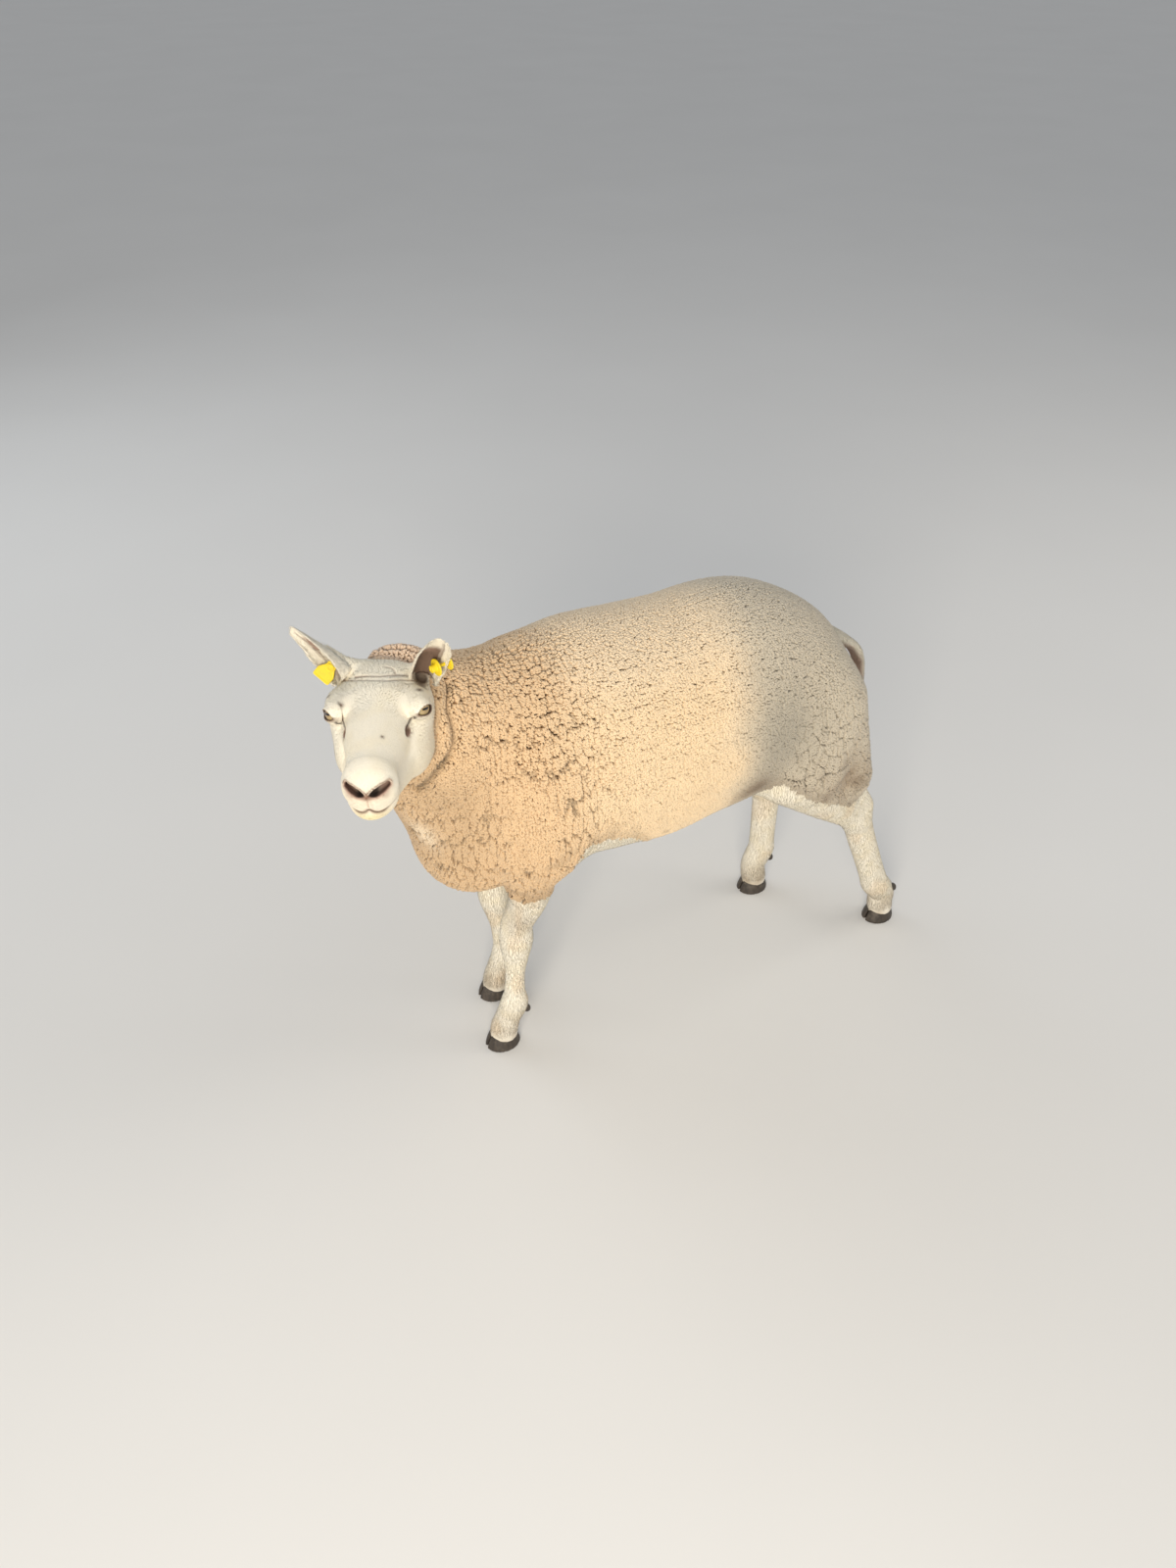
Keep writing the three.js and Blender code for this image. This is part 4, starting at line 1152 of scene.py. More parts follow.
@dataclass
class Bench:
    """Puts meshes into the scene: the figure's millimetres become the frame's metres."""

    shift: Array

    def metres(self, p: Array) -> Array:
        """Points of the figure in the frame."""
        return (p + self.shift) * MM

    def piece(
        self,
        name: str,
        verts: Array,
        faces: Array,
        material: Material,
        slot: str,
        tint: Array | None = None,
        uv: Array | None = None,
        smooth: bool = True,
        map_name: str = BAKE_MAP,
    ) -> bpy.types.Object:
        """Makes one mesh object from whole arrays.

        Args:
            name: the piece's name.
            verts: points in the figure's millimetres.
            faces: rows of three or four vertex numbers.
            material: its finish.
            slot: not used.
            tint: a colour for each vertex.
            uv: a map place for each vertex.
            smooth: whether its faces are shaded smooth.
            map_name: the map's name.

        Returns:
            The object, riding on the one body.
        """
        corners = faces.shape[1]
        mesh = bpy.data.meshes.new(name)
        mesh.vertices.add(len(verts))
        mesh.vertices.foreach_set("co", self.metres(verts).astype(np.float32).ravel())
        mesh.loops.add(faces.size)
        mesh.loops.foreach_set("vertex_index", faces.astype(np.int32).ravel())
        mesh.polygons.add(len(faces))
        mesh.polygons.foreach_set("loop_start", np.arange(0, faces.size, corners, dtype=np.int32))
        mesh.polygons.foreach_set("use_smooth", np.full(len(faces), smooth))
        if tint is not None:
            layer = mesh.color_attributes.new(TINT, "FLOAT_COLOR", "POINT")
            rgba = np.column_stack([tint, np.ones(len(tint))]).astype(np.float32)
            layer.data.foreach_set("color", rgba.ravel())
        if uv is not None:
            layer = mesh.uv_layers.new(name=map_name)
            layer.data.foreach_set("uv", uv[faces.ravel()].astype(np.float32).ravel())
        mesh.update()
        mesh.validate()
        mesh.materials.append(material)
        obj = bpy.data.objects.new(name, mesh)
        bpy.context.scene.collection.objects.link(obj)
        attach(obj, ROOT_BODY)
        log.info("%s: %d faces", name, len(faces))
        return obj


# ---- Markings


class Paints:
    """Colours at many points, laid over one another."""

    def __init__(self, base: Array, count: int) -> None:
        """Starts with one colour everywhere."""
        self.colour = np.tile(base, (count, 1))

    def over(self, paint: Array, share: Array) -> None:
        """Lays a paint over the colour by a share from 0 to 1."""
        self.colour = mix(self.colour, paint, np.clip(share, 0, 1)[:, None])


@dataclass
class Markings:
    """The colours of skin, hair and wool from place to place."""

    anatomy: Anatomy
    coat: Coat
    face: Face

    SUNNY = vec(0.90, 0.71, 0.47)
    CREAM = vec(0.88, 0.74, 0.55)
    REAR_SHADE_GREY = vec(0.60, 0.55, 0.45)
    TAN = vec(0.80, 0.57, 0.34)
    MUD = vec(0.17, 0.115, 0.07)
    ROOT_AND_GAP_SHADE = vec(0.10, 0.062, 0.034)
    WHITE = vec(0.93, 0.875, 0.745)
    WARM_WHITE = vec(0.92, 0.84, 0.66)
    PINK = vec(0.50, 0.29, 0.22)
    BROWN = vec(0.16, 0.075, 0.04)
    DARK = vec(0.022, 0.013, 0.010)
    NAPE = vec(0.80, 0.62, 0.47)
    LIP = vec(0.74, 0.64, 0.36)
    SPOTS = (
        *((14, -154.2, -28.1, 2.3), (-42.2, -94, -18.8, 3.4), (52.4, -68.8, -13.9, 4.0), (-60.7, -74.6, -16.3, 3.2)),
        *((-46.9, -30.6, -20.1, 3.4), (-59.2, -24.1, 12.1, 2.6), (-56.5, -25.2, 9.3, 2.2), (25, -221, -59, 1.2)),
        *((20, -226, -64, 1.5), (13, -230, -66, 1.3), (-19, -227, -65, 1.6)),
    )

    def wool(self, p: Array) -> Array:
        """The colour of the fleece's tips.

        Sunny tan along the flank, cream on the back, painted grey shade over the rump with a darker painted shadow
        on the rear flank, darker on the chest and throat, and mud on the thigh, in the groin and at the hem.
        """
        x, y, z = p.T
        coat = Paints(self.SUNNY, len(p))
        mottled = noise_at(p, 55, 3) - 0.5
        coat.over(self.CREAM, ease(-60, 60, y + 60 * mottled) * 0.45)
        coat.over(self.CREAM * 1.07, ease(660, 740, z) * 0.6)
        # Painted shade: the rump and rear greyer, as if in shadow, stronger on the left side.
        rear_shade = ease(-25, 75, y + 30 * mottled) * (0.45 + 0.55 * ease(-120, 0, x))
        coat.over(self.REAR_SHADE_GREY, rear_shade * 0.82)
        # Painted shadow: a darker grey patch on the rear flank.
        shaded = blob(p, (180, 82, 572), (1.5, 1, 1.3), 76)
        coat.over(self.REAR_SHADE_GREY * 0.66, shaded * rear_shade * 0.85)
        coat.over(self.TAN, ease(-150, -320, y + 60 * mottled) * 0.85)
        low = ease(560, 400, z + 60 * mottled)
        coat.over(self.TAN, low * ease(-80, -260, y) * 0.8)
        coat.over(self.TAN * 0.85, ease(-320, -420, y) * ease(720, 560, z) * 0.9)
        coat.over(self.TAN * 0.9, ease(520, 400, z) * ease(-180, -300, y) * 0.7)
        throat = blob(p, (40, -450, 560), (1, 1, 1.3), 75)
        coat.over(self.MUD, throat * 0.55 * (0.6 + 1.4 * mottled))
        pale = blob(p, (63, -459, 508), (0.8, 1, 1.25), 24)
        coat.over(self.CREAM, pale * 0.9)
        blotch = noise_at(p, 26, 11)
        on_left = np.column_stack([np.abs(x), y + 60 * (x < 0), z])
        thigh = blob(on_left, (146, 225, 432), (1, 1.25, 1), 62)
        coat.over(self.MUD * 1.6, thigh * (0.15 + 0.65 * blotch))
        groin = bell(away(p, 148, 52, 476), 32)
        coat.over(self.MUD, groin * 0.85)
        edge = 1 - ease(0, 34, p[:, 2] - self.coat.hem_height(p))
        coat.over(self.MUD, edge * 0.3 * (0.4 + blotch))
        coat.over(self.MUD, ease(0.62, 0.8, noise_at(p, 20, 21)) * low * 0.3)
        nape = self.coat.on_nape(self.anatomy.head.into(p))
        coat.over(self.NAPE, nape * 0.9)
        return coat.colour * (0.93 + 0.07 * noise_at(p, 9, 31))[:, None]

    def hair(self, p: Array) -> Array:
        """The colour of the short hair, and of the bare skin of the eyes, nose and lips."""
        z = p[:, 2]
        q = self.anatomy.head.into(p)
        on_head = near_face(q)
        coat = Paints(self.WHITE, len(p))
        blotch = noise_at(p, 16, 5)
        coat.over(self.WARM_WHITE, ease(0.35, 0.75, blotch) * 0.6)
        knee = blob(p, (88, -325, 292), (1, 1, 1.5), 22)
        coat.over(self.MUD * 1.7, knee * 0.4 * ~on_head)
        hooves = ease(110, 30, z) * ~on_head
        coat.over(self.MUD * 1.5, hooves * (0.1 + 0.6 * blotch))
        legs = ease(420, 330, z) * ease(0.55, 0.8, noise_at(p * vec(1, 1, 0.45), 22, 8))
        coat.over(self.TAN, legs * 0.22 * ~on_head)
        if on_head.any():
            part = Paints(self.WHITE, 0)
            part.colour = coat.colour[on_head]
            self._face(q[on_head], part)
            coat.colour[on_head] = part.colour
        return coat.colour

    def _face(self, q: Array, coat: Paints) -> None:
        """The head's colours over the hair's own."""
        face = self.face
        speckle = noise_at(q, 2.6, 41)
        coat.over(self.WARM_WHITE, 0.25 + 0.35 * ease(-35, 0, q[:, 1]))
        coat.over(self.WARM_WHITE, ease(-70, -100, q[:, 2]) * 0.65)
        snout = ease(-200, -226, q[:, 1])
        near_nose = ease(30, 8, np.abs(q[:, 0])) * ease(-50, -62, q[:, 2])
        coat.over(self.PINK, snout * ease(-92, -84, q[:, 2]) * (0.08 + 0.3 * speckle) * near_nose)
        coat.over(self.LIP, snout * ease(-88, -97, q[:, 2]) * 0.75)
        flat = face.flat(q)
        for side, duct in zip((LEFT, RIGHT), face.ducts):
            local = face.eye_local(q, side)
            gap = face.opening(local)
            front = face.in_front(local)
            lid = np.where(local[:, 2] > 0, 0.7, 1.9)
            coat.over(self.BROWN * 0.8, front * bell(np.maximum(gap - 0.5, 0) / lid, 1.0) * 0.92)
            coat.over(self.DARK, front * ease(0.6, -0.2, gap))
            coat.over(self.BROWN, front * bell(gap - 5.2, 1.2) * (local[:, 2] < 0) * 0.15)
            pinkish = ease(-2, -8, q[:, 2] - face.gland(side)[2])
            paint = mix(np.tile(self.BROWN * 0.8, (len(q), 1)), self.PINK * 0.6, pinkish[:, None])
            coat.over(paint, 0.95 * ease(2.2, -0.6, face.pit(q, side)))
            coat.over(self.DARK * 1.5, bell(face.along(flat, duct.points), 2.0) * 0.95)
            self._nostril(q, side, coat)
        # Painted shade: brown along the poll's creases and the philtrum.
        for crease in face.creases[: face.LIPS]:
            coat.over(self.BROWN * 1.6, bell(face.along(flat, crease.points), crease.width * 1.1) * 0.6)
        lips = face.along(flat, face.creases[face.LIPS].points)
        corner = 1 - 0.7 * ease(15, 25, np.abs(q[:, 0]))
        coat.over(self.PINK * 0.9, bell(lips, 3.4) * 0.4 * corner)
        # Painted shade: a dark brown line along the gap between the lips.
        coat.over(self.BROWN * 0.5, bell(lips, 1.7) * 0.95 * corner)
        coat.over(self.BROWN, bell(away(q, 0, -231, -65), 4.5) * 0.75)
        for ear in face.ears:
            coat.over(self.BROWN * 0.8, ease(4, -1, face.ear_channel(q, ear)) * 0.85)
        for x, y, z, r in self.SPOTS:
            coat.over(self.BROWN * 0.7, 0.95 * bell(away(q, x, y, z), r))

    def _nostril(self, q: Array, side: int, coat: Paints) -> None:
        """A nostril: pinkish brown round it, a brown line and a pale rim above, and painted shade in its passage."""
        hole = self.face.nostril(q, side)
        across = np.abs(q[:, 0])
        above = ease(-1, 2, q[:, 2] - np.interp(across, (4, 10, 17, 24), (-62, -60.5, -58, -56)))
        patch = blob(q, (side * 20, -218, -64), (1, 1.3, 1.2), 6)
        coat.over(self.PINK * 0.7, patch * 0.75)
        beyond = ease(10, 17, across)
        coat.over(self.PINK * 0.8, ease(4.5, 1.0, hole) * (0.75 - 0.35 * above))
        coat.over(self.BROWN, bell(hole - 2.4, 1.0) * above * 0.8)
        coat.over(self.WHITE, bell(hole - 0.8, 0.55) * above * bell(across - 9, 6) * 0.7)
        coat.over(self.BROWN, ease(1.0, -0.4, hole) * 0.85 * (1 - 0.4 * beyond))
        # Painted shade: near black down the nostril's passage, pinkish brown at its outer end.
        inside = ease(1.1, -0.1, self.face.inside_nostril(q, side))
        coat.over(self.DARK * 1.6, inside * (1 - 0.45 * beyond))
        coat.over(self.PINK * 0.5, inside * beyond * 0.8)

    def tail(self, p: Array) -> Array:
        """The tail's colour: pale outside, pinkish brown on the side towards the rump."""
        under = ease(6, -6, p[:, 1] - np.interp(p[:, 2], [508, 558, 596, 636], [346, 335, 305, 243]))
        return mix(np.tile(self.WHITE, (len(p), 1)), self.PINK * 0.9, under[:, None] * 0.8)

    def ear(self, ear: "Ear", p: Array, info: Array) -> Array:
        """An ear's colour: white outside and on its rim, pinkish brown inside.

        Args:
            ear: which ear.
            p: points of it.
            info: for each, how far along, how far across from -1 to 1, and 1 outside to -1 inside.
        """
        u, across, face = info.T
        colour = np.tile(self.WHITE, (len(p), 1))
        is_left = ear.name == "left"
        offset, wide, tip_at = (0.2, 0.72, 0.82) if is_left else (-0.05, 0.44, 0.84)
        aside = np.abs(across + offset)
        tip = ease(tip_at, 0.66, u)
        inside = ease(0.1, -0.35, face) * ease(wide, wide - 0.14, aside) * tip
        mottled = noise_at(p, 7, 51)
        deep = np.clip(ease(0.9, 0.4, u) + mottled - 0.15, 0, 1) if is_left else ease(0.5, 0.2, u)
        brown = mix(self.PINK * 0.72, self.BROWN * 0.95, deep[:, None])
        colour = mix(colour, brown, (inside * 0.9)[:, None])
        # A brown line along the inside just under the rim: painted shadow of the rim.
        dark = bell(aside - wide, 0.07) * ease(0.1, -0.3, face) * ease(0.96, 0.85, u)
        colour = mix(colour, self.BROWN, (dark * 0.75)[:, None])
        if not is_left:
            spot = bell(u - 0.3, 0.035) * bell(across - 0.35, 0.12) + bell(u - 0.36, 0.03) * bell(across - 0.2, 0.1)
            colour = mix(colour, self.DARK, np.minimum(spot * 1.3 * noise_at(p, 2.5, 9), 1)[:, None])
        return colour

    def skin(self, p: Array) -> Array:
        """The skin's colour: the hair's, and the wool's root darkened as painted shade under the fleece."""
        share = self.coat.woolliness(p)[:, None]
        return mix(self.hair(p), 0.4 * self.ROOT_AND_GAP_SHADE + 0.5 * self.wool(p), share)


# ---- Unwrapping


def share_of_turn(a: Array, b: Array) -> Array:
    """The angle of (a, b) as a share of a whole turn, from 0 to 1."""
    return np.arctan2(a, b) / (2 * np.pi) + 0.5


@dataclass
class Unwrap:
    """A flat map: each part of the skin is rolled off its own axis into its own strip."""

    anatomy: Anatomy

    def __call__(self, p: Array) -> Array:
        """Map places: the angle round the part's axis, and the way along it."""
        q = self.anatomy.head.into(p)
        turn = share_of_turn(p[:, 0], p[:, 2] - 560)
        uv = np.column_stack([turn, 0.02 + 0.5 * (p[:, 1] + 520) / 880])
        head = away(q, 0, -110, -55) < 165
        around = share_of_turn(q[:, 0], q[:, 2] + 60)
        uv[head] = np.column_stack([0.5 * around, 0.54 + 0.44 * (q[:, 1] + 250) / 320])[head]
        for i, leg in enumerate(self.anatomy.legs):
            low = (p[:, 2] < 400) & (np.sign(p[:, 0]) == leg.side) & ((p[:, 1] > -80) == leg.is_hind)
            across = np.interp(p[:, 2], leg.line[::-1, 2], leg.line[::-1, 0])
            ahead = np.interp(p[:, 2], leg.line[::-1, 2], leg.line[::-1, 1])
            round_it = share_of_turn(p[:, 0] - across, p[:, 1] - ahead)
            uv[low] = np.column_stack([0.52 + 0.115 * i + 0.11 * round_it, 0.54 + 0.44 * p[:, 2] / 400])[low]
        return np.clip(uv, 0.002, 0.998)


# ---- Ears


class TagKind(Enum):
    """What the front piece of an ear tag is."""

    BUTTON = "button"
    FLAG = "flag"


@dataclass(frozen=True)
class TagPlace:
    """Where a tag goes through an ear, how far its front stands off, and its kind."""

    u: float
    turn_deg: float
    stand_off: float
    kind: TagKind


@dataclass
class Ear:
    """An ear: a funnel of skin, nearly closed at the root and opening to a leaf-shaped tip."""

    name: str
    root: Point
    along: Point
    opens: Point
    girths: tuple[tuple[float, float], ...]
    tag: TagPlace
    head: Placing
    swell: float = 1.0
    closed_deg: float = 145.0
    open_deg: float = 62.0
    roll: float = 0.9
    length: float = 93.0
    skin: float = 5.6
    hair: float = 1.0
    channel: tuple[tuple[float, float, float, float], ...] = ((0, -19, 12, 9), (0, -22, 26, 12.5), (0, -26, 44, 15))
    rings: int = 44
    arc: int = 30

    def girth(self, u: Array) -> Array:
        """The funnel's radius along it, on a smooth curve through the given ones."""
        rows = np.array([[a, r, 0] for a, r in self.girths], float)
        fine = spline(rows, np.linspace(0, len(rows) - 1, 200))
        return np.interp(u, fine[:, 0], fine[:, 1])

    def wrap(self, u: Array) -> Array:
        """How far the skin turns to each side of its back, from the root to the tip."""
        return np.radians(mix(self.closed_deg, self.open_deg, np.sqrt(np.clip(u, 0, 1))))

    def local(self, u: Array, turn: Array, out: Array) -> Array:
        """Points on the shell, `out` from its middle, in the ear's own frame."""
        g = self.girth(u) * mix(1, self.swell, u)
        reach = g + out
        return np.stack([reach * np.sin(turn), reach * np.cos(turn) - g - 10 * u * u, self.length * self.swell * u], -1)

    @property
    def axes(self) -> Array:
        """The ear's own axes in the head's frame, as rows: across, out of its back, and along."""
        up = unit(np.array(self.along))
        front = np.array(self.opens) - (np.array(self.opens) @ up) * up
        back = -unit(front)
        return np.array([np.cross(back, up), back, up])

    def placed(self, local: Array) -> Array:
        """Points of the ear's own frame in the figure's."""
        return self.head.out(local @ self.axes + np.array(self.root))

    def shell(self) -> tuple[Surface, Array]:
        """The ear's skin: a grid up its outside, over the rim and down its inside.

        Across, it runs round a flattened loop: the turn is a cosine sweep of the wrap, and the
        distance from the middle a rounded sine, thicker at the rim.

        Returns:
            The surface, and for each vertex (u, how far across from -1 to 1, 1 outside to -1 inside).
        """
        loop = 2 * self.arc
        u = np.linspace(0, 1, self.rings)[:, None] ** 0.9
        v = (np.arange(loop)[None, :] + 0.5) * np.pi / self.arc
        across, face = np.cos(v), np.sin(v)
        half = self.skin / 2 * (1 - 0.45 * u) - self.hair
        rim = 1 + self.roll * ease(0.75, 0.97, np.abs(across)) * (1 - 0.4 * u)
        out = half * rim * np.sign(face) * np.abs(face) ** 0.6
        end = 1 - 0.6 * ease(0.94, 1.0, u)
        turn = across * self.wrap(u) * (1 - self.hair / 60) * end
        u = np.broadcast_to(u, turn.shape)
        grid = self.local(u * 0.985, turn, out)
        a = np.arange(self.arc - 1)
        strip = np.stack([a, a + 1, loop - 2 - a, loop - 1 - a], 1)
        faces = np.concatenate([tube_faces(self.rings, loop), strip[:, ::-1], strip + (self.rings - 1) * loop])
        info = np.stack([u, np.broadcast_to(across, turn.shape), np.broadcast_to(face, turn.shape)], -1)
        return Surface(self.placed(grid.reshape(-1, 3)), faces), info.reshape(-1, 3)


# ---- The skin


@dataclass
class Hide:
    """The one skin of the whole animal, inside the coat."""

    anatomy: Anatomy
    coat: Coat
    face: Face
    markings: Markings
    unwrap: Unwrap
    ears: list[Ear]
    cuts: tuple[float, ...] = (334.0, 334.0, 300.0, 285.0)
    seam_slope: tuple[float, float] = (0.75, 0.66)
    seam_through: tuple[float, float] = (9.0, -82.0)
    hoof_top: float = 16.0
    tail_inset: float = 2.8
    belly_sag: float = 9.0
    tail_off: float = 24.0
    body_cell: float = 8.0
    head_cell: float = 1.8
    leg_cell: float = 3.6
    tail_cell: float = 3.5
    main: Surface = field(init=False)
    strap: Surface = field(init=False)
    ear_shells: list[Surface] = field(init=False)
    ear_info: list[Array] = field(init=False)

    def field(self, p: Array) -> Array:
        """The skin's field: the outline moved in by the coat's depth, and the finer forms."""
        q = self.anatomy.head.into(p)
        f = self.anatomy.body(p)
        near = away(q, 20, 20, -60) < 230
        if near.any():
            nape = mass(q[near], (18, 26, -25), (44, 21, 25))
            f[near] = join(f[near], nape, 12) + 6.5 * bell(self.coat.fold_distance(p[near]), 5.5)
        low = np.column_stack([np.abs(p[:, 0]), p[:, 1:]])
        f = f - self.belly_sag * blob(low, (128, -80, 425), (1, 1.5, 1), 48)
        return self.face.shaped(q, f + self.coat.depth(p))

    def on_face(self, p: Array) -> Array:
        """Less than 0 in front of the plane across the head where the finer mesh begins."""
        q = self.anatomy.head.into(p)
        (slope_y, slope_z), (y, z) = self.seam_slope, self.seam_through
        return slope_y * (q[:, 1] - y) - slope_z * (q[:, 2] - z)

    def cut(self, p: Array) -> Array:
        """The height below which the skin at each point belongs to a leg."""
        hind = np.where(p[:, 0] > 0, self.cuts[2], self.cuts[3])
        return np.where(p[:, 1] > -80, hind, self.cuts[0])

    def body(self) -> Surface:
        """The trunk, neck and head, zipped where the finer mesh of the head begins."""
        coarse = surfaced(self.field, (-216, -520, min(self.cuts) - 16), (216, 350, 830), self.body_cell)
        legless = coarse.verts[:, 2] > self.cut(coarse.verts)
        keep = legless & (self.on_face(coarse.verts) > 5)
        coarse = coarse.kept(keep[coarse.quads].all(1))
        fine = surfaced(lambda q: self.field(self.anatomy.head.out(q)), (-96, -250, -190), (96, 60, 40), self.head_cell)
        fine = fine.placed(self.anatomy.head.out)
        fine = fine.kept((self.on_face(fine.verts) < 0)[fine.quads].all(1))
        return zipped_near(coarse, fine)

    def leg(self, leg: Leg) -> Surface:
        """A leg's skin below the cut, flat at its foot inside the hoof."""
        low, high = leg.line[:, :3].min(0), leg.line[:, :3].max(0)
        cut = self.cuts[self.anatomy.legs.index(leg)]
        start = (low[0] - 60, low[1] - 60, self.hoof_top - 6)
        end = (high[0] + 60, high[1] + 70 if leg.is_hind else min(high[1] + 70, 80), cut + 12)

        def footed(p: Array) -> Array:
            """The skin above the sole's plane."""
            return np.maximum(self.field(p), self.hoof_top - p[:, 2])

        mesh = surfaced(footed, start, end, self.leg_cell)
        on_side = mesh.verts[:, 0] * leg.side > 4
        return mesh.kept((on_side & (mesh.verts[:, 2] < cut - 2))[mesh.quads].all(1))

    def tail(self) -> Surface:
        """The tail's strap, inside its hair."""

        def field_of(p: Array) -> Array:
            """The strap's field, its lower part standing off the rump."""
            off = self.tail_off * ease(645, 575, p[:, 2])
            return self.anatomy.tail(p - off[:, None] * vec(0, 1, 0)) + self.tail_inset

        return surfaced(field_of, (-60, 230, 480), (60, 366, 640), self.tail_cell)

    def surface(self) -> Surface:
        """The whole skin in one mesh."""
        whole = self.body()
        for leg in self.anatomy.legs:
            whole = zipped_near(whole, self.leg(leg))
        return whole

    def build(self, bench: Bench, finish: Material) -> bpy.types.Object:
        """Makes the skin's piece, and keeps its parts for the coat to grow from."""
        self.main = self.surface()
        self.strap = self.tail()
        shells = [ear.shell() for ear in self.ears]
        self.ear_shells = [shell for shell, _ in shells]
        self.ear_info = [info for _, info in shells]
        whole = joined([self.main, self.strap, *self.ear_shells])
        tints = [self.markings.skin(self.main.verts), self.markings.tail(self.strap.verts)]
        tints += [self.markings.ear(ear, s.verts, i) for ear, s, i in zip(self.ears, self.ear_shells, self.ear_info)]
        tint = np.concatenate(tints)
        piece = bench.piece("skin", whole.verts, whole.triangles(), finish, "face", tint)
        flesh = ["trunk", "neck", "tail", "head", "ear_left", "ear_right"]
        flesh += [f"{leg.name}_{part}" for leg in self.anatomy.legs for part in ("upper", "lower")]
        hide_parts(*flesh)
        return piece


# ---- The coat


def scattered(surface: Surface, spacing: float, seed: int, wanted: Shape | None = None) -> tuple[Array, Array]:
    """Points spread evenly over a surface, with its normal at each.

    Points fall on the faces by area, four for each square of the spacing, and one is kept in each
    cell of a cubic grid: the one nearest the cell's middle.

    Args:
        surface: what they lie on.
        spacing: about how far apart they end.
        seed: fixes the draw.
        wanted: marks which faces' centres to use.

    Returns:
        The points and unit normals.
    """
    v, tris = surface.verts, surface.triangles()
    normals = surface.normals()
    if wanted is not None:
        tris = tris[wanted(v[tris].mean(1))]
    a, b, c = v[tris[:, 0]], v[tris[:, 1]], v[tris[:, 2]]
    area = np.linalg.norm(np.cross(b - a, c - a), axis=1) / 2
    total = area.sum()
    rng = np.random.default_rng(seed)
    many = int(4 * total / spacing**2)
    pick = np.searchsorted(np.cumsum(area) / total, rng.random(many)).clip(0, len(tris) - 1)
    r1, r2 = np.sqrt(rng.random(many)), rng.random(many)
    w = np.stack([1 - r1, r1 * (1 - r2), r1 * r2], 1)
    corners = tris[pick]
    points = (v[corners] * w[..., None]).sum(1)
    out = unit((normals[corners] * w[..., None]).sum(1))
    cell = np.floor(points / spacing)
    off = np.linalg.norm(points / spacing - cell - 0.5, axis=1)
    order = np.argsort(off, kind="stable")
    key = (cell[:, 0] * 73856093 + cell[:, 1] * 19349663 + cell[:, 2] * 83492791).astype(np.int64)
    _, first = np.unique(key[order], return_index=True)
    chosen = np.sort(order[first])
    return points[chosen], out[chosen]


def tangent(d: Array, normal: Array) -> Array:
    """The part of each direction that lies in the surface, at length one."""
    return unit(d - (d * normal).sum(1, keepdims=True) * normal)


@dataclass
class Staples:
    """Clumps of wool: the cells of a jittered grid, narrow across and tall up the body."""

    width: float
    height: float
    salt: int
    wobble: float = 0.35

    def clump(self, p: Array) -> tuple[Array, Array]:
        """Finds each point's clump.

        Args:
            p: points in millimetres.

        Returns:
            The way from each point to its clump's middle, and how deep it lies inside the clump: 0 on
            the crack between two, rising to about 1 at the middle.
        """
        size = vec(self.width, self.width, self.height)
        warp = np.stack([noise_at(p, 2.2 * self.width, self.salt + k) - 0.5 for k in range(3)], 1)
        at = (p + warp * self.width * 2 * self.wobble) / size
        base = np.floor(at)
        nearest = np.full(len(p), 9.0)
        second = np.full(len(p), 9.0)
        middle = np.zeros_like(p)
        for corner in np.ndindex(3, 3, 3):
            cell = base + np.array(corner) - 1
            jitter = np.stack([hashed(cell, self.salt + 7 * k) for k in range(3)], 1)
            centre = cell + 0.15 + 0.7 * jitter
            away = np.linalg.norm(centre - at, axis=1)
            closer = away < nearest
            second = np.where(closer, nearest, np.minimum(second, away))
            middle[closer] = centre[closer]
            nearest = np.where(closer, away, nearest)
        return (middle - at) * size, np.clip(second - nearest, 0, 1)


MOST_FACES = 190000


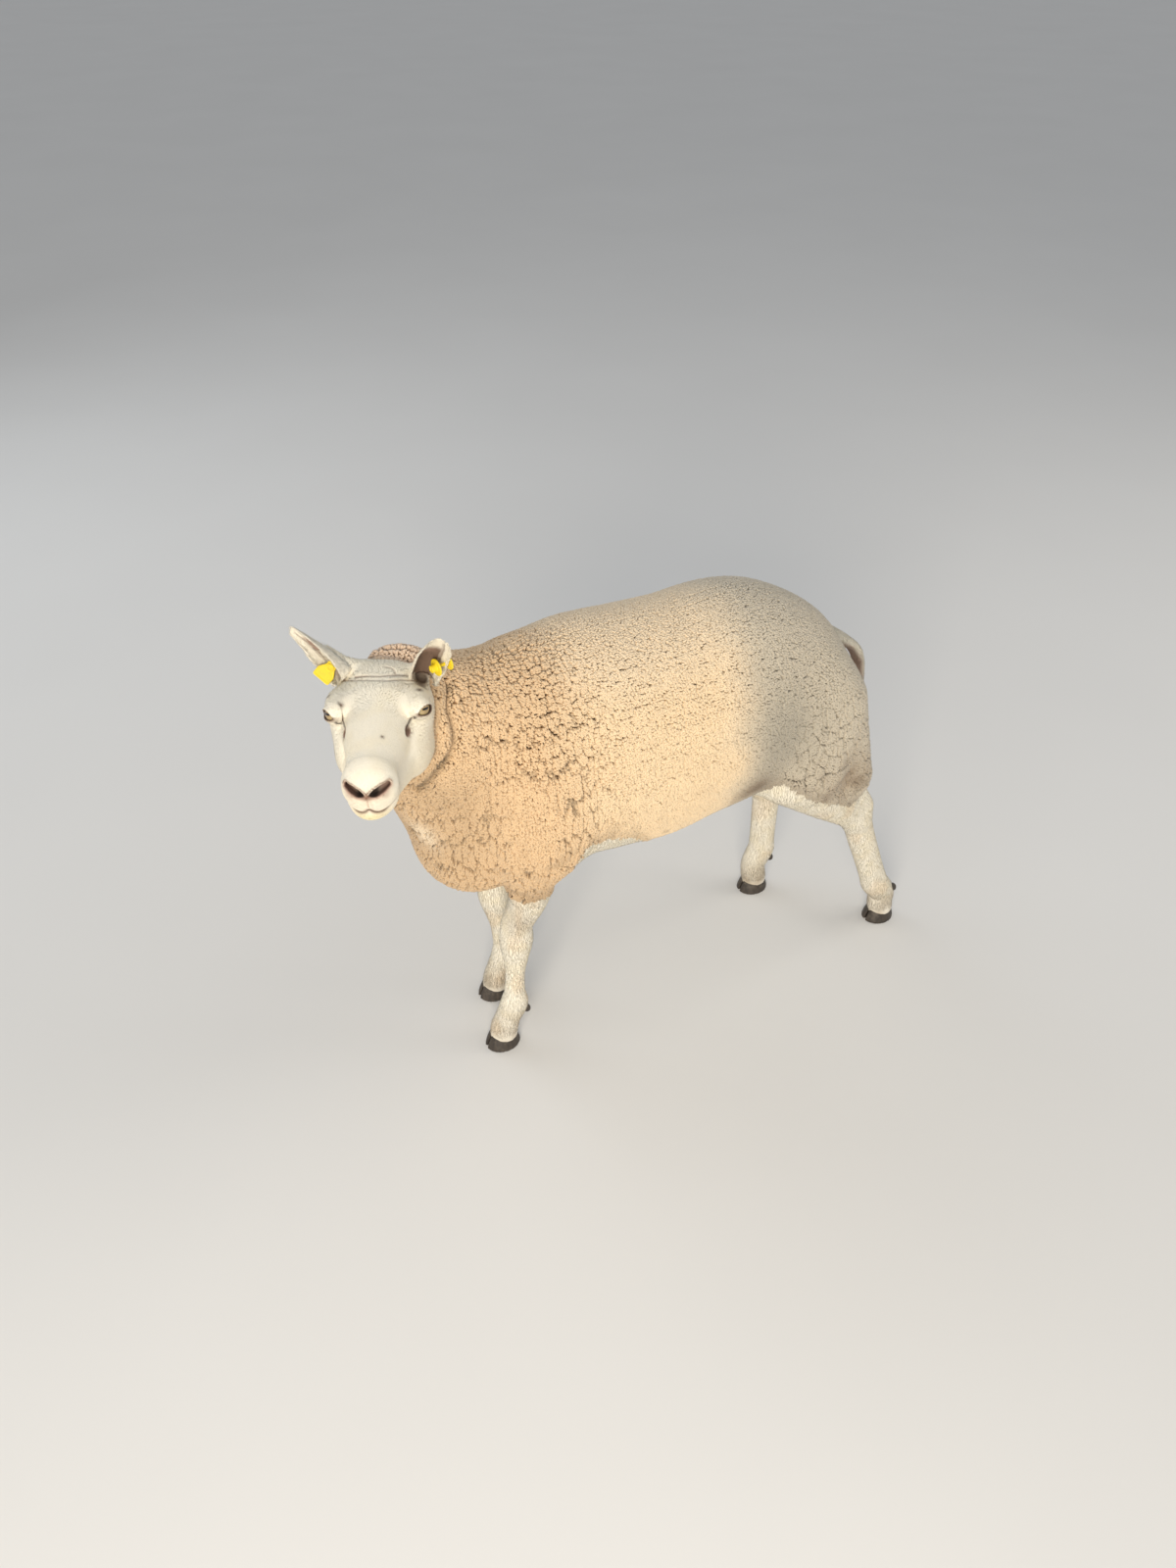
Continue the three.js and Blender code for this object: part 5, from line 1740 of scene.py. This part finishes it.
@dataclass
class Tufts:
    """Tapering closed tufts of three sides, many to a piece.

    A tuft has a triangle across its line at each given share of its length, and ends in a point.
    """

    levels: tuple[float, ...]
    widths: tuple[float, ...]

    @property
    def each(self) -> int:
        """How many vertices one tuft has."""
        return 3 * len(self.levels) + 1

    def mesh(self, line: Shape, thick: Array, side: Array, other: Array) -> tuple[Array, Array]:
        """Builds every tuft.

        Args:
            line: gives each tuft's centre at a share of its length, as an array of points.
            thick: each tuft's half width.
            side: one direction across it.
            other: the direction across both.

        Returns:
            Vertices and triangles.
        """
        count = len(thick)
        rings = []
        for level, width in zip(self.levels, self.widths):
            centre = line(np.full(count, level))
            for k in range(3):
                angle = 2 * np.pi * k / 3
                rings.append(centre + (thick * width)[:, None] * (math.cos(angle) * side + math.sin(angle) * other))
        rings.append(line(np.ones(count)))
        verts = np.stack(rings, 1)
        tris = [[0, 2, 1]]
        for ring in range(len(self.levels) - 1):
            for k in range(3):
                a, b = 3 * ring + k, 3 * ring + (k + 1) % 3
                tris += [[a, b, b + 3], [a, b + 3, a + 3]]
        last = 3 * (len(self.levels) - 1)
        tris += [[last + k, last + (k + 1) % 3, self.each - 1] for k in range(3)]
        faces = (np.arange(count) * self.each)[:, None, None] + np.array(tris)[None]
        return verts.reshape(-1, 3), faces.reshape(-1, 3)

    def patch(self, at: Array, across: float = 0.003) -> Array:
        """Each tuft's map patch: its rings nested round its root's place."""
        parts = []
        for level in self.levels:
            for k in range(3):
                angle = 2 * np.pi * k / 3
                parts.append(at + across / 2 * (1 - 0.9 * level) * vec(math.cos(angle), math.sin(angle)))
        parts.append(at)
        return np.stack(parts, 1).reshape(-1, 2)

    def shares(self, count: int) -> Array:
        """Each vertex's share of its tuft's length, for all tufts."""
        one = np.concatenate([np.repeat(self.levels, 3), [1.0]])
        return np.tile(one, count)[:, None]

    def pieces(
        self, bench: Bench, name: str, slot: str, finish: Material, mesh: tuple[Array, Array], tint: Array, uv: Array
    ) -> None:
        """Puts tufts into as many pieces as keep each under MOST_FACES, cut between tufts.

        Args:
            bench: where the pieces go.
            name: what they are called, before a number.
            slot: the record's material slot.
            finish: their material.
            mesh: the vertices and triangles of every tuft.
            tint: a colour for each vertex.
            uv: a map place for each vertex.
        """
        verts, faces = mesh
        count = len(verts) // self.each
        shares = max(1, -(-len(faces) // MOST_FACES))
        edges = np.linspace(0, count, shares + 1).astype(int)
        per_tuft = len(faces) // count
        for i, (a, b) in enumerate(zip(edges[:-1], edges[1:])):
            v = slice(a * self.each, b * self.each)
            f = faces[a * per_tuft : b * per_tuft] - a * self.each
            bench.piece(f"{name}_{i + 1}", verts[v], f, finish, slot, tint[v], uv[v])


@dataclass
class Fleece:
    """The wool: short dense locks in staples, that part in cracks on the neck and thigh."""

    hide: Hide
    coat: Coat
    markings: Markings
    unwrap: Unwrap
    spacing: float = 2.95
    root_seed: int = 71
    lock_seed: int = 5
    least_wool: float = 0.3
    tufts: Tufts = field(default_factory=lambda: Tufts((0.0, 0.91), (0.85, 1.0)))

    def woolly(self, p: Array) -> Array:
        """Where the fleece's locks grow."""
        return self.coat.woolliness(p) > self.least_wool

    def lie(self, p: Array, n: Array) -> Array:
        """The way the wool leans: back and down, and down only on the chest and legs."""
        back = ease(-380, -200, p[:, 1])
        d = np.column_stack([0.25 * np.sign(p[:, 0]) * (np.abs(p[:, 0]) > 8), 0.75 * back + 0.1, -np.ones(len(p))])
        return tangent(d, n)

    def staples(self, p: Array) -> tuple[Array, Array]:
        """The lean to the staple's middle, and how deep the crack at its edge cuts.

        They are fine on the flank and back, tall folds on the neck, and broad blocks on the thigh.
        """
        neck = ease(-150, -270, p[:, 1]) * ease(270, 350, p[:, 2])
        thigh = ease(70, 140, p[:, 1]) * ease(640, 560, p[:, 2])
        rest = 1 - np.clip(neck + thigh, 0, 1)
        kinds = [(Staples(8, 40, 3), rest, 0.2, 0.14), (Staples(10, 56, 13), neck, 0.72, 0.14)]
        kinds.append((Staples(15, 28, 23), thigh, 0.55, 0.10))
        lean, crack = np.zeros_like(p), np.zeros(len(p))
        for staples, share, strength, breadth in kinds:
            use = share > 0.001
            if use.any():
                toward, deep = staples.clump(p[use])
                lean[use] += toward * (share[use] * strength)[:, None]
                crack[use] += (1 - ease(0.0, breadth, deep)) * share[use] * strength
        # Deeper cracks on the lower neck and chest: the locks there are shorter, and there is more painted shade in the
        # cracks.
        crack = crack * (1 + 0.6 * ease(-130, -240, p[:, 1]) * ease(650, 560, p[:, 2]))
        return lean, crack

    def build(self, bench: Bench, finish: Material) -> None:
        """Makes the fleece's pieces."""
        root, n = scattered(self.hide.main, self.spacing, self.root_seed, self.woolly)
        depth = self.coat.depth(root)
        lean, crack = self.staples(root)
        q = self.markings.anatomy.head.into(root)
        nape, cheek = self.coat.on_nape(q), self.coat.on_cheek(q)
        wrinkle = np.abs(np.sin(q[:, 0] * 0.42 + 2.0 * noise_at(q, 14, 61)))
        crack = crack * (1 - np.maximum(nape, 0.7 * cheek)) + nape * 0.45 * ease(0.3, 0.05, wrinkle)
        lean = lean * (1 - np.maximum(nape, cheek))[:, None]
        crack = np.clip(crack, 0, 1.3)
        lean = lean - (lean * n).sum(1, keepdims=True) * n
        reach = np.linalg.norm(lean, axis=1, keepdims=True)
        lean = lean * np.minimum(1, 6.0 / np.maximum(reach, 1e-6))
        r = np.random.default_rng(self.lock_seed).random((len(root), 4))
        fold = bell(self.coat.fold_distance(root), 5.2)
        length = (depth + 2.0) * (0.99 + 0.06 * r[:, 0]) * (1 - 0.36 * crack) * (1 - 0.8 * fold)
        lie = self.lie(root, n)
        steep = 0.16 + 0.30 * ease(640, 740, root[:, 2])
        side = tangent(unit(lie + 0.8 * (r[:, 1:4] - 0.5)), n)
        other = np.cross(n, side)
        phase = 2 * np.pi * r[:, 1]

        def line(t: Array) -> Array:
            """A lock's line: out, bent to the lie and its staple, with a small curl."""
            t = t[:, None]
            up = length[:, None] * t * (1 - 0.12 * steep[:, None] * t)
            curl = np.cos(phase[:, None] + 5.5 * t) * side + np.sin(phase[:, None] + 5.5 * t) * other
            return root + n * (up - 2.0) + lie * (steep * length)[:, None] * t**2 + lean * 0.3 * t**2 + curl * 0.7 * t

        thick = self.spacing * (0.90 + 0.16 * r[:, 2])
        mesh = self.tufts.mesh(line, thick, side, other)
        each, t = self.tufts.each, self.tufts.shares(len(root))
        tips = self.markings.wool(root + n * depth[:, None])
        # Painted shade: lock tips darker in the staples' cracks and along the fold between the cheek's wool and the
        # neck's.
        dark = (1 - 0.45 * np.minimum(crack, 1) ** 1.5) * (1 - 0.86 * bell(self.coat.fold_distance(root), 4.6))
        shade = ((0.97 + 0.06 * r[:, 3]) * dark)[:, None]
        tip = np.repeat(tips * shade, each, axis=0)
        # Lock roots darker than tips: partly the wool's own root tone, partly painted shade deep in the fleece.
        root_tone_and_shade = np.repeat(tips * 0.88, each, axis=0)
        tint = mix(root_tone_and_shade, tip, ease(0.0, 0.85, t))
        uv = self.tufts.patch(self.unwrap(root))
        self.tufts.pieces(bench, "fleece", "fleece", finish, mesh, tint, uv)


@dataclass
class ShortHair:
    """The hair of the face, legs, ears and tail: small flat tufts along its lie."""

    hide: Hide
    coat: Coat
    markings: Markings
    unwrap: Unwrap
    anatomy: Anatomy
    face: Face
    main_draw: tuple[float, int] = (2.7, 31)
    ear_draw: tuple[float, int] = (1.7, 37)
    tail_draw: tuple[float, int] = (2.4, 41)
    most_wool: float = 0.55
    bench: Bench = field(init=False)
    finish: Material = field(init=False)
    tufts: Tufts = field(default_factory=lambda: Tufts((0.0,), (1.0,)))

    def flow(self, p: Array, n: Array) -> Array:
        """The lie of the hair: away from the forehead's whorl on the head, and down the legs."""
        head = self.anatomy.head
        q = head.into(p)
        whorl = q - vec(1.4, -111, -13)
        out = np.column_stack([whorl[:, 0], whorl[:, 1], whorl[:, 2] * 0.6 - 10])
        toward_nose = ease(-110, -140, q[:, 1])[:, None]
        d = mix(unit(out), vec(0, -0.75, -0.25) + 0.006 * q * vec(1, 0, 0), toward_nose * 0.6)
        down = np.tile(vec(0, 0.12, -1), (len(p), 1))
        on_head = near_face(q)[:, None]
        return tangent(np.where(on_head, head.turned(d), down), n)

    def grow(
        self, name: str, slot: str, root: Array, n: Array, flow: Array, length: Array, rise: Any, tip: Array
    ) -> None:
        """Grows a flat tuft on each root.

        Args:
            name: the pieces' name.
            slot: the record's material slot.
            root: where each grows.
            n: the skin's normal there.
            flow: the way the hair lies.
            length: each tuft's length.
            rise: how far its tip stands off, as a share of the length.
            tip: its colour.
        """
        r = np.random.default_rng(len(root)).random((len(root), 3))
        lean = tangent(flow + 0.5 * (r - 0.5), n)
        across = np.cross(n, lean)

        def line(t: Array) -> Array:
            """A hair's line: from just under the skin, along the flow and a little off it."""
            t = t[:, None]
            return root - 0.2 * n + (lean + n * rise * (2 - t) / 1.4) * length[:, None] * t

        mesh = self.tufts.mesh(line, 0.6 + 0.25 * r[:, 0], across, 0.45 * n)
        shade = (0.95 + 0.1 * r[:, 1])[:, None]
        tint = np.repeat(tip * shade, self.tufts.each, axis=0) * mix(0.93, 1.03, self.tufts.shares(len(root)))
        uv = self.tufts.patch(self.unwrap(root))
        self.tufts.pieces(self.bench, name, slot, self.finish, mesh, tint, uv)

    def hairy(self, p: Array) -> Array:
        """Which of the skin's faces hair may grow from: a little more than are wanted."""
        return self.coat.woolliness(p) < self.most_wool + 0.05

    def wanted(self, p: Array) -> Array:
        """Where hair grows: outside the fleece, the eyes, nostrils and pits."""
        q = self.anatomy.head.into(p)
        keep = self.coat.woolliness(p) < self.most_wool
        keep &= p[:, 2] > 30
        near = near_face(q)
        flat = q.copy()
        flat[near] = self.face.flat(q[near])
        for side, duct in zip((LEFT, RIGHT), self.face.ducts):
            local = self.face.eye_local(q, side)
            keep &= ~((self.face.opening(local) < 2.2) & self.face.in_front(local))
            keep &= self.face.nostril(q, side) > 3.5
            keep &= self.face.pit(q, side) > 0
            keep &= self.face.along(flat, duct.points) > 1.9
        for crease in self.face.creases[self.face.PHILTRUM : self.face.LIPS + 1]:
            keep &= self.face.along(flat, crease.points) > 2.3
        return keep

    def build(self, bench: Bench, finish: Material) -> None:
        """Makes the hair of the face and legs, the ears and the tail."""
        self.bench, self.finish = bench, finish
        root, n = scattered(self.hide.main, *self.main_draw, self.hairy)
        keep = self.wanted(root) & self.wanted(root + self.flow(root, n) * 3.5)
        root, n = root[keep], n[keep]
        q = self.anatomy.head.into(root)
        on_head = near_face(q)
        length = np.where(on_head, 4.0 + 2.0 * ease(-120, -20, q[:, 1]), 7.0)
        length = np.where(on_head & (q[:, 1] < -195), 2.4, length)
        tint = self.markings.hair(root)
        rise = np.where(on_head, 0.13, 0.22)[:, None]
        self.grow("hair", "face", root, n, self.flow(root, n), length, rise, tint)
        for ear, shell, info in zip(self.hide.ears, self.hide.ear_shells, self.hide.ear_info):
            root, n = scattered(shell, *self.ear_draw)
            u, across, face = near_rows(root, shell.verts, info).T
            up = ear.placed(np.array([[0, 0, 1.0]])) - ear.placed(np.zeros((1, 3)))
            rim = ease(0.72, 0.9, np.abs(across))
            flow = tangent(np.repeat(up, len(root), 0), n)
            rise = (0.22 + 0.1 * rim)[:, None]
            tint = self.markings.ear(ear, root, np.column_stack([u, across, face]))
            self.grow(f"hair_ear_{ear.name}", "ear", root, n, flow, 4.0 + 1.0 * rim, rise, tint)
        root, n = scattered(self.hide.strap, *self.tail_draw)
        down = tangent(np.tile(vec(0, 0.2, -1), (len(root), 1)), n)
        self.grow("hair_tail", "fleece", root, n, down, np.full(len(root), 9.0), 0.3, self.markings.tail(root))


def near_rows(p: Array, verts: Array, rows: Array) -> Array:
    """The row of the vertex nearest each point, found in blocks."""
    parts = np.array_split(p, max(1, len(p) // 500))
    best = [np.argmin(((part[:, None] - verts[None]) ** 2).sum(-1), axis=1) for part in parts]
    return rows[np.concatenate(best)]


# ---- Eyes, hooves and tags


@dataclass
class Eye:
    """An eyeball: a ball with its front a little raised, turned about the line of sight."""

    side: int
    name: str
    face: Face
    head: Placing
    radius: float = 13.2
    front: float = 0.7
    front_deg: float = 45.0
    sight: Point = (0.74, -0.62, 0.27)
    rings: int = 40
    sides: int = 64

    def build(self, bench: Bench, finish: Material) -> bpy.types.Object:
        """Makes the eye: r = radius + front (1 - (angle / front_deg)^2) near the line of sight."""
        out = unit(np.array(self.sight) * vec(self.side, 1, 1))
        axes = squared(out, self.face.eye_axes(self.side)[0])
        angle = np.linspace(0, np.pi, self.rings + 1)[1:-1, None]
        turn = np.linspace(0, 2 * np.pi, self.sides, endpoint=False)[None, :]
        reach = self.radius + self.front * np.clip(1 - (angle / math.radians(self.front_deg)) ** 2, 0, 1)
        wide = reach * np.sin(angle)
        rings = [wide * np.cos(turn), reach * np.cos(angle) + 0 * turn, wide * np.sin(turn)]
        ball = turned_shape(np.stack(rings, -1), (0, self.radius + self.front, 0), (0, -self.radius, 0))
        verts, faces = ball.verts, ball.triangles()
        centre = self.face.eye_centre(self.side)
        placed = self.head.out(centre + verts @ axes)
        if np.linalg.det(axes) > 0:
            faces = faces[:, ::-1]
        uv = 0.5 + verts[:, [0, 2]] / (2 * self.radius + 2)
        piece = bench.piece(f"{self.name}_ball", placed, faces, finish, "eye", None, uv, map_name=EyeFinish.map_name)
        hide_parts(self.name)
        return piece


@dataclass
class Hoof:
    """A cloven hoof and its dewclaws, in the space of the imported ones."""

    leg: Leg
    cell: float = 1.6
    dewclaw_cell: float = 1.2
    dewclaw_tilt_deg: float = 28.0
    length: float = 62.0
    width: float = 25.0
    toe: float = 30.0
    heel: float = 20.0
    cleft: float = 3.0
    shift: Array = field(init=False)

    def claw(self, side: int) -> Surface:
        """One claw: a rounded cone of horn, flat below, cut along the cleft and at the coronet.

        The wall has faint growth rings: its radius swells by a sine of the height.
        """
        foot = self.leg.foot
        inner = foot[0] + side * self.cleft / 2
        fall = math.atan((self.toe - self.heel) / self.length)
        up = vec(0, math.sin(fall), math.cos(fall))

        def field_of(p: Array) -> Array:
            """The claw's field."""
            rings = 0.25 * np.sin(p[:, 2] * 1.6 + 0.04 * p[:, 1])
            cone = mass(p, (inner, foot[1], -20), (self.width * 1.04, self.length * 0.52, 61)) + 0.5 + rings
            coronet = (p - vec(*foot, (self.toe + self.heel) / 2)) @ up
            cut = np.maximum(coronet, 0.3 - side * (p[:, 0] - inner))
            return np.maximum(-join(-cone, -cut, 3.0), -p[:, 2])

        low = (min(inner, inner + side * 30) - 4, foot[1] - 38, -3.2)
        high = (max(inner, inner + side * 30) + 4, foot[1] + 38, 42)
        return surfaced(field_of, low, high, self.cell)

    def dewclaw(self, side: int) -> Surface:
        """A dewclaw: a small blunt knob behind the fetlock."""
        low = self.box(f"dewclaw_{'outer' if side == self.leg.side else 'inner'}")
        centre = low.mean(0)
        half = (low[1] - low[0]) / 2 - 0.5
        tilt = math.radians(self.dewclaw_tilt_deg)

        def field_of(p: Array) -> Array:
            """The knob's field, tilted back at its foot."""
            d = p - centre
            y = d[:, 1] * math.cos(tilt) + d[:, 2] * math.sin(tilt)
            z = -d[:, 1] * math.sin(tilt) + d[:, 2] * math.cos(tilt)
            return mass(np.column_stack([d[:, 0], y, z]), (0, 0, 0), (half[0], 6.8, 9.8)) + 0.2 * np.sin(z * 2.2)

        return surfaced(field_of, centre - 14, centre + 14, self.dewclaw_cell)

    def box(self, part: str) -> Array:
        """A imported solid's lowest and highest corners, in the figure's millimetres."""
        corners = np.array([list(c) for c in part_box(f"{self.leg.name}_{part}")])
        return corners / MM - self.shift

    def build(self, bench: Bench, finish: Material) -> None:
        """Makes the two claws and the two dewclaws."""
        self.shift = bench.shift
        for side in (LEFT, RIGHT):
            which = "outer" if side == self.leg.side else "inner"
            for part, shape in (("claw", self.claw(side)), ("dewclaw", self.dewclaw(side))):
                name = f"{self.leg.name}_{part}_{which}"
                piece = bench.piece(f"horn_{name}", shape.verts, shape.triangles(), finish, "horn")
                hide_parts(name)


@dataclass
class EarTag:
    """A plastic tag: a button or a flag in front of an ear, and a button behind it."""

    ear: Ear
    pin: float = 2.2
    plate: float = 2.2
    button: float = 11.5
    gap: float = 0.4
    cell: float = 0.8

    @property
    def axes(self) -> Array:
        """The tag's axes as rows: x to the ear's tip, y across, z out of its back."""
        turn = math.radians(self.ear.tag.turn_deg)
        out = vec(math.sin(turn), math.cos(turn), 0)
        tipwards = vec(0, 0, 1)
        return np.array([tipwards, np.cross(out, tipwards), out])

    def placed(self, local: Array) -> Array:
        """Points of the tag's frame in the figure's."""
        tag = self.ear.tag
        at = self.ear.local(np.array(tag.u), np.array(math.radians(tag.turn_deg)), np.array(0.0))
        return self.ear.placed(local @ self.axes + at)

    def disc(self, profile: Sequence[tuple[float, float]], sides: int = 40) -> Surface:
        """A turned shape: the profile of (radius, level) carried round the tag's z axis."""
        rows = np.array(profile, float)
        turn = np.linspace(0, 2 * np.pi, sides, endpoint=False)
        ring = np.stack([np.cos(turn), np.sin(turn)], 1)
        rings = np.stack([np.column_stack([r * ring, np.full(sides, z)]) for r, z in rows])
        return turned_shape(rings, (0, 0, rows[0, 1]), (0, 0, rows[-1, 1]))

    def flag(self, low: float, high: float) -> Surface:
        """The flag's plate, narrowed to a neck at the pin and ringed by a low rim."""
        mid = (low + high) / 2

        def field_of(p: Array) -> Array:
            """A rounded slab: the outline's distance and the level's, joined."""
            x, y, z = p.T
            half = mix(12.6, 6.8, ease(-9, 3, y))
            side = np.abs(x) - half
            ends = np.maximum(y - 7.6, -19.6 - y)
            rounded = np.hypot(np.maximum(side + 3, 0), np.maximum(ends + 3, 0)) - 3
            outline = np.where((side > -3) & (ends > -3), rounded, np.maximum(side, ends))
            thick = (high - low) / 2 + 0.28 * ease(-2.4, -1.6, outline)
            return -join(-outline, -(np.abs(z - mid) - thick + 0.3), 0.9)

        return surfaced(field_of, (-15, -22, low - 2), (15, 10, high + 2), self.cell)

    def build(self, bench: Bench, finish: Material) -> None:
        """Makes the front and the back piece."""
        skin = self.ear.skin / 2
        face = -skin - self.ear.tag.stand_off
        low, r = face - self.plate, self.button
        if self.ear.tag.kind is TagKind.FLAG:
            stem = [(2.7, face - 0.2), (2.7, -skin - 1.6), (5, -skin - 1.7)]
            boss = self.disc([*stem, (5, low - 1.1), (4.6, low - 1.5), (2.6, low - 1.5), (2.2, low - 0.9)])
            front = joined([self.flag(low, face), flipped(boss)])
        else:
            plate = [(r - 0.5, face), (r, face - 0.5), (r, low + 0.5), (r - 0.5, low), (5.6, low)]
            boss = [(5, low - 0.6), (5, low - 6.5), (4.5, low - 7), (2.4, low - 7), (2.0, low - 6)]
            front = flipped(self.disc([*plate, *boss]))
        start, b, pin_end = skin + self.gap, self.button - 1.5, face + self.gap
        stalk = [(self.pin - 0.1, pin_end), (self.pin, pin_end + 0.5), (self.pin, start)]
        plate = [(b - 0.5, start), (b, start + 0.5), (b, start + 1.7), (b - 0.5, start + 2.2)]
        back = self.disc([*stalk, *plate, (3.2, start + 2.2), (2.8, start + 1.8)])
        for part, shape in (("front", front), ("back", back)):
            name = f"tag_{self.ear.name}_{part}"
            placed = shape.placed(self.placed)
            piece = bench.piece(f"plastic_{name}", placed.verts, placed.triangles(), finish, "tag", smooth=False)
            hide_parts(name)


def flipped(surface: Surface) -> Surface:
    """The surface turned inside out."""
    return Surface(surface.verts, surface.quads[:, ::-1], surface.tris[:, ::-1])


# ---- Studio


@dataclass(frozen=True)
class Lamp:
    """A square soft lamp at a place in the frame, facing a target."""

    name: str
    at: Row
    target: Row
    size: float
    watts: float
    colour: Row

    def build(self) -> None:
        """Hangs the lamp."""
        light = bpy.data.lights.new(self.name, "AREA")
        light.energy, light.size, light.color = self.watts, self.size, self.colour
        obj = bpy.data.objects.new(self.name, light)
        obj.location = self.at
        aim = Vector(self.target) - Vector(self.at)
        obj.rotation_euler = aim.to_track_quat("-Z", "Y").to_euler()
        bpy.context.scene.collection.objects.link(obj)


@dataclass
class Studio:
    """The pale floor, the soft lamps and the camera."""

    eye_at: Point = (1315.0, -806.0, 1600.0)
    tilt_deg: float = 52.0
    pan_deg: float = 64.0
    lens: float = 27.05
    floor_half: float = 30.0
    sky: tuple[float, ...] = (0.93, 0.96, 1.0, 1.0)
    sky_strength: float = 0.46
    lamps: tuple[Lamp, ...] = (
        Lamp("key", (2.9, -2.0, 1.75), (0, -0.05, 0.42), 1.4, 118, (1.0, 0.92, 0.80)),
        Lamp("fill", (-2.6, -1.6, 2.4), (0, 0, 0.5), 2.5, 26, (0.9, 0.95, 1.0)),
        Lamp("rear", (0.8, 3.0, 2.4), (0, 0.1, 0.5), 2.2, 30, (1.0, 0.97, 0.92)),
    )

    def floor(self, finish: Material) -> None:
        """A wide plain floor at z = 0."""
        s = self.floor_half
        mesh = bpy.data.meshes.new("floor")
        mesh.from_pydata([(-s, -s, 0), (s, -s, 0), (s, s, 0), (-s, s, 0)], [], [(0, 1, 2, 3)])
        mesh.materials.append(finish)
        obj = bpy.data.objects.new("floor", mesh)
        bpy.context.scene.collection.objects.link(obj)

    def build(self, bench: Bench, finish: Material) -> None:
        """Sets up the whole studio."""
        self.floor(finish)
        for lamp in self.lamps:
            lamp.build()
        world = bpy.data.worlds.new("studio")
        world.use_nodes = True
        background = world.node_tree.nodes["Background"]
        background.inputs["Color"].default_value = self.sky
        background.inputs["Strength"].default_value = self.sky_strength
        scene = bpy.context.scene
        scene.world = world
        scene.view_settings.view_transform = "Standard"
        camera = bpy.data.cameras.new("camera")
        camera.lens, camera.sensor_width, camera.sensor_fit = self.lens, 36, "AUTO"
        camera.clip_start, camera.clip_end = 0.05, 50
        obj = bpy.data.objects.new("camera", camera)
        obj.location = bench.metres(np.array(self.eye_at))
        obj.rotation_euler = (math.radians(self.tilt_deg), 0, math.radians(self.pan_deg))
        scene.collection.objects.link(obj)
        scene.camera = obj


# ---- Putting it together


LEFT_GIRTHS = ((0, 16.5), (0.18, 19), (0.4, 21), (0.62, 21), (0.82, 18.5), (0.94, 14), (1, 7.5))
LEFT_CHANNEL = ((0, -8, -4, 7), (0, -9, 6, 10), (0, -13, 15, 13), (0, -22, 27, 15), (0, -26, 44, 16))
RIGHT_GIRTHS = ((0, 15), (0.18, 17), (0.4, 17), (0.62, 14.5), (0.82, 11.5), (0.94, 9), (1, 6))


def figure_shift() -> Array:
    """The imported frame's offset from the figure's, in millimetres, from the left fore claws."""
    claws = np.array([[list(c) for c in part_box(f"foreleg_left_claw_{which}")] for which in ("outer", "inner")])
    low, high = claws[:, 0].min(0), claws[:, 1].max(0)
    middle = (low + high) / 2 / MM
    return vec(middle[0] - 56, middle[1] + 355, 0)


def both_ears(head: Placing) -> list[Ear]:
    """The left ear, opening forwards, and the right one, laid out to the side."""
    left_tag = TagPlace(u=0.48, turn_deg=66, stand_off=10, kind=TagKind.BUTTON)
    right_tag = TagPlace(u=0.23, turn_deg=-60, stand_off=10, kind=TagKind.FLAG)
    left_ways = (50, -10, -20), (0.30, -0.50, 0.82), (0.15, -0.85, -0.5)
    right_ways = (-42, -8, -17), (-0.69, 0.15, 0.68), (-0.45, -0.86, -0.24)
    left = Ear("left", *left_ways, LEFT_GIRTHS, left_tag, head, 1.1, closed_deg=112.0, roll=1.5, channel=LEFT_CHANNEL)
    return [left, Ear("right", *right_ways, RIGHT_GIRTHS, right_tag, head, length=91.0)]


def main() -> None:
    """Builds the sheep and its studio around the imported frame."""
    logging.basicConfig(level=logging.INFO, format="%(message)s")
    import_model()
    bench = Bench(figure_shift())
    log.info("shift %s", bench.shift)
    anatomy = Anatomy()
    coat = Coat(anatomy)
    face = Face(anatomy, both_ears(anatomy.head))
    markings = Markings(anatomy, coat, face)
    unwrap = Unwrap(anatomy)
    finishes = (HAIR_FINISH, WOOL_FINISH, HornFinish(), TagFinish(), EyeFinish())
    hair, wool, horn, plastic, wet = (finish.build() for finish in finishes)
    Studio().build(bench, FloorFinish().build())
    hide = Hide(anatomy, coat, face, markings, unwrap, face.ears)
    hide.build(bench, hair)
    for side, name in ((LEFT, "eye_left"), (RIGHT, "eye_right")):
        Eye(side, name, face, anatomy.head).build(bench, wet)
    for leg in anatomy.legs:
        Hoof(leg).build(bench, horn)
    for ear in face.ears:
        EarTag(ear).build(bench, plastic)
    Fleece(hide, coat, markings, unwrap).build(bench, wool)
    ShortHair(hide, coat, markings, unwrap, anatomy, face).build(bench, hair)
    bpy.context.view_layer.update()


if __name__ == "__main__":
    main()
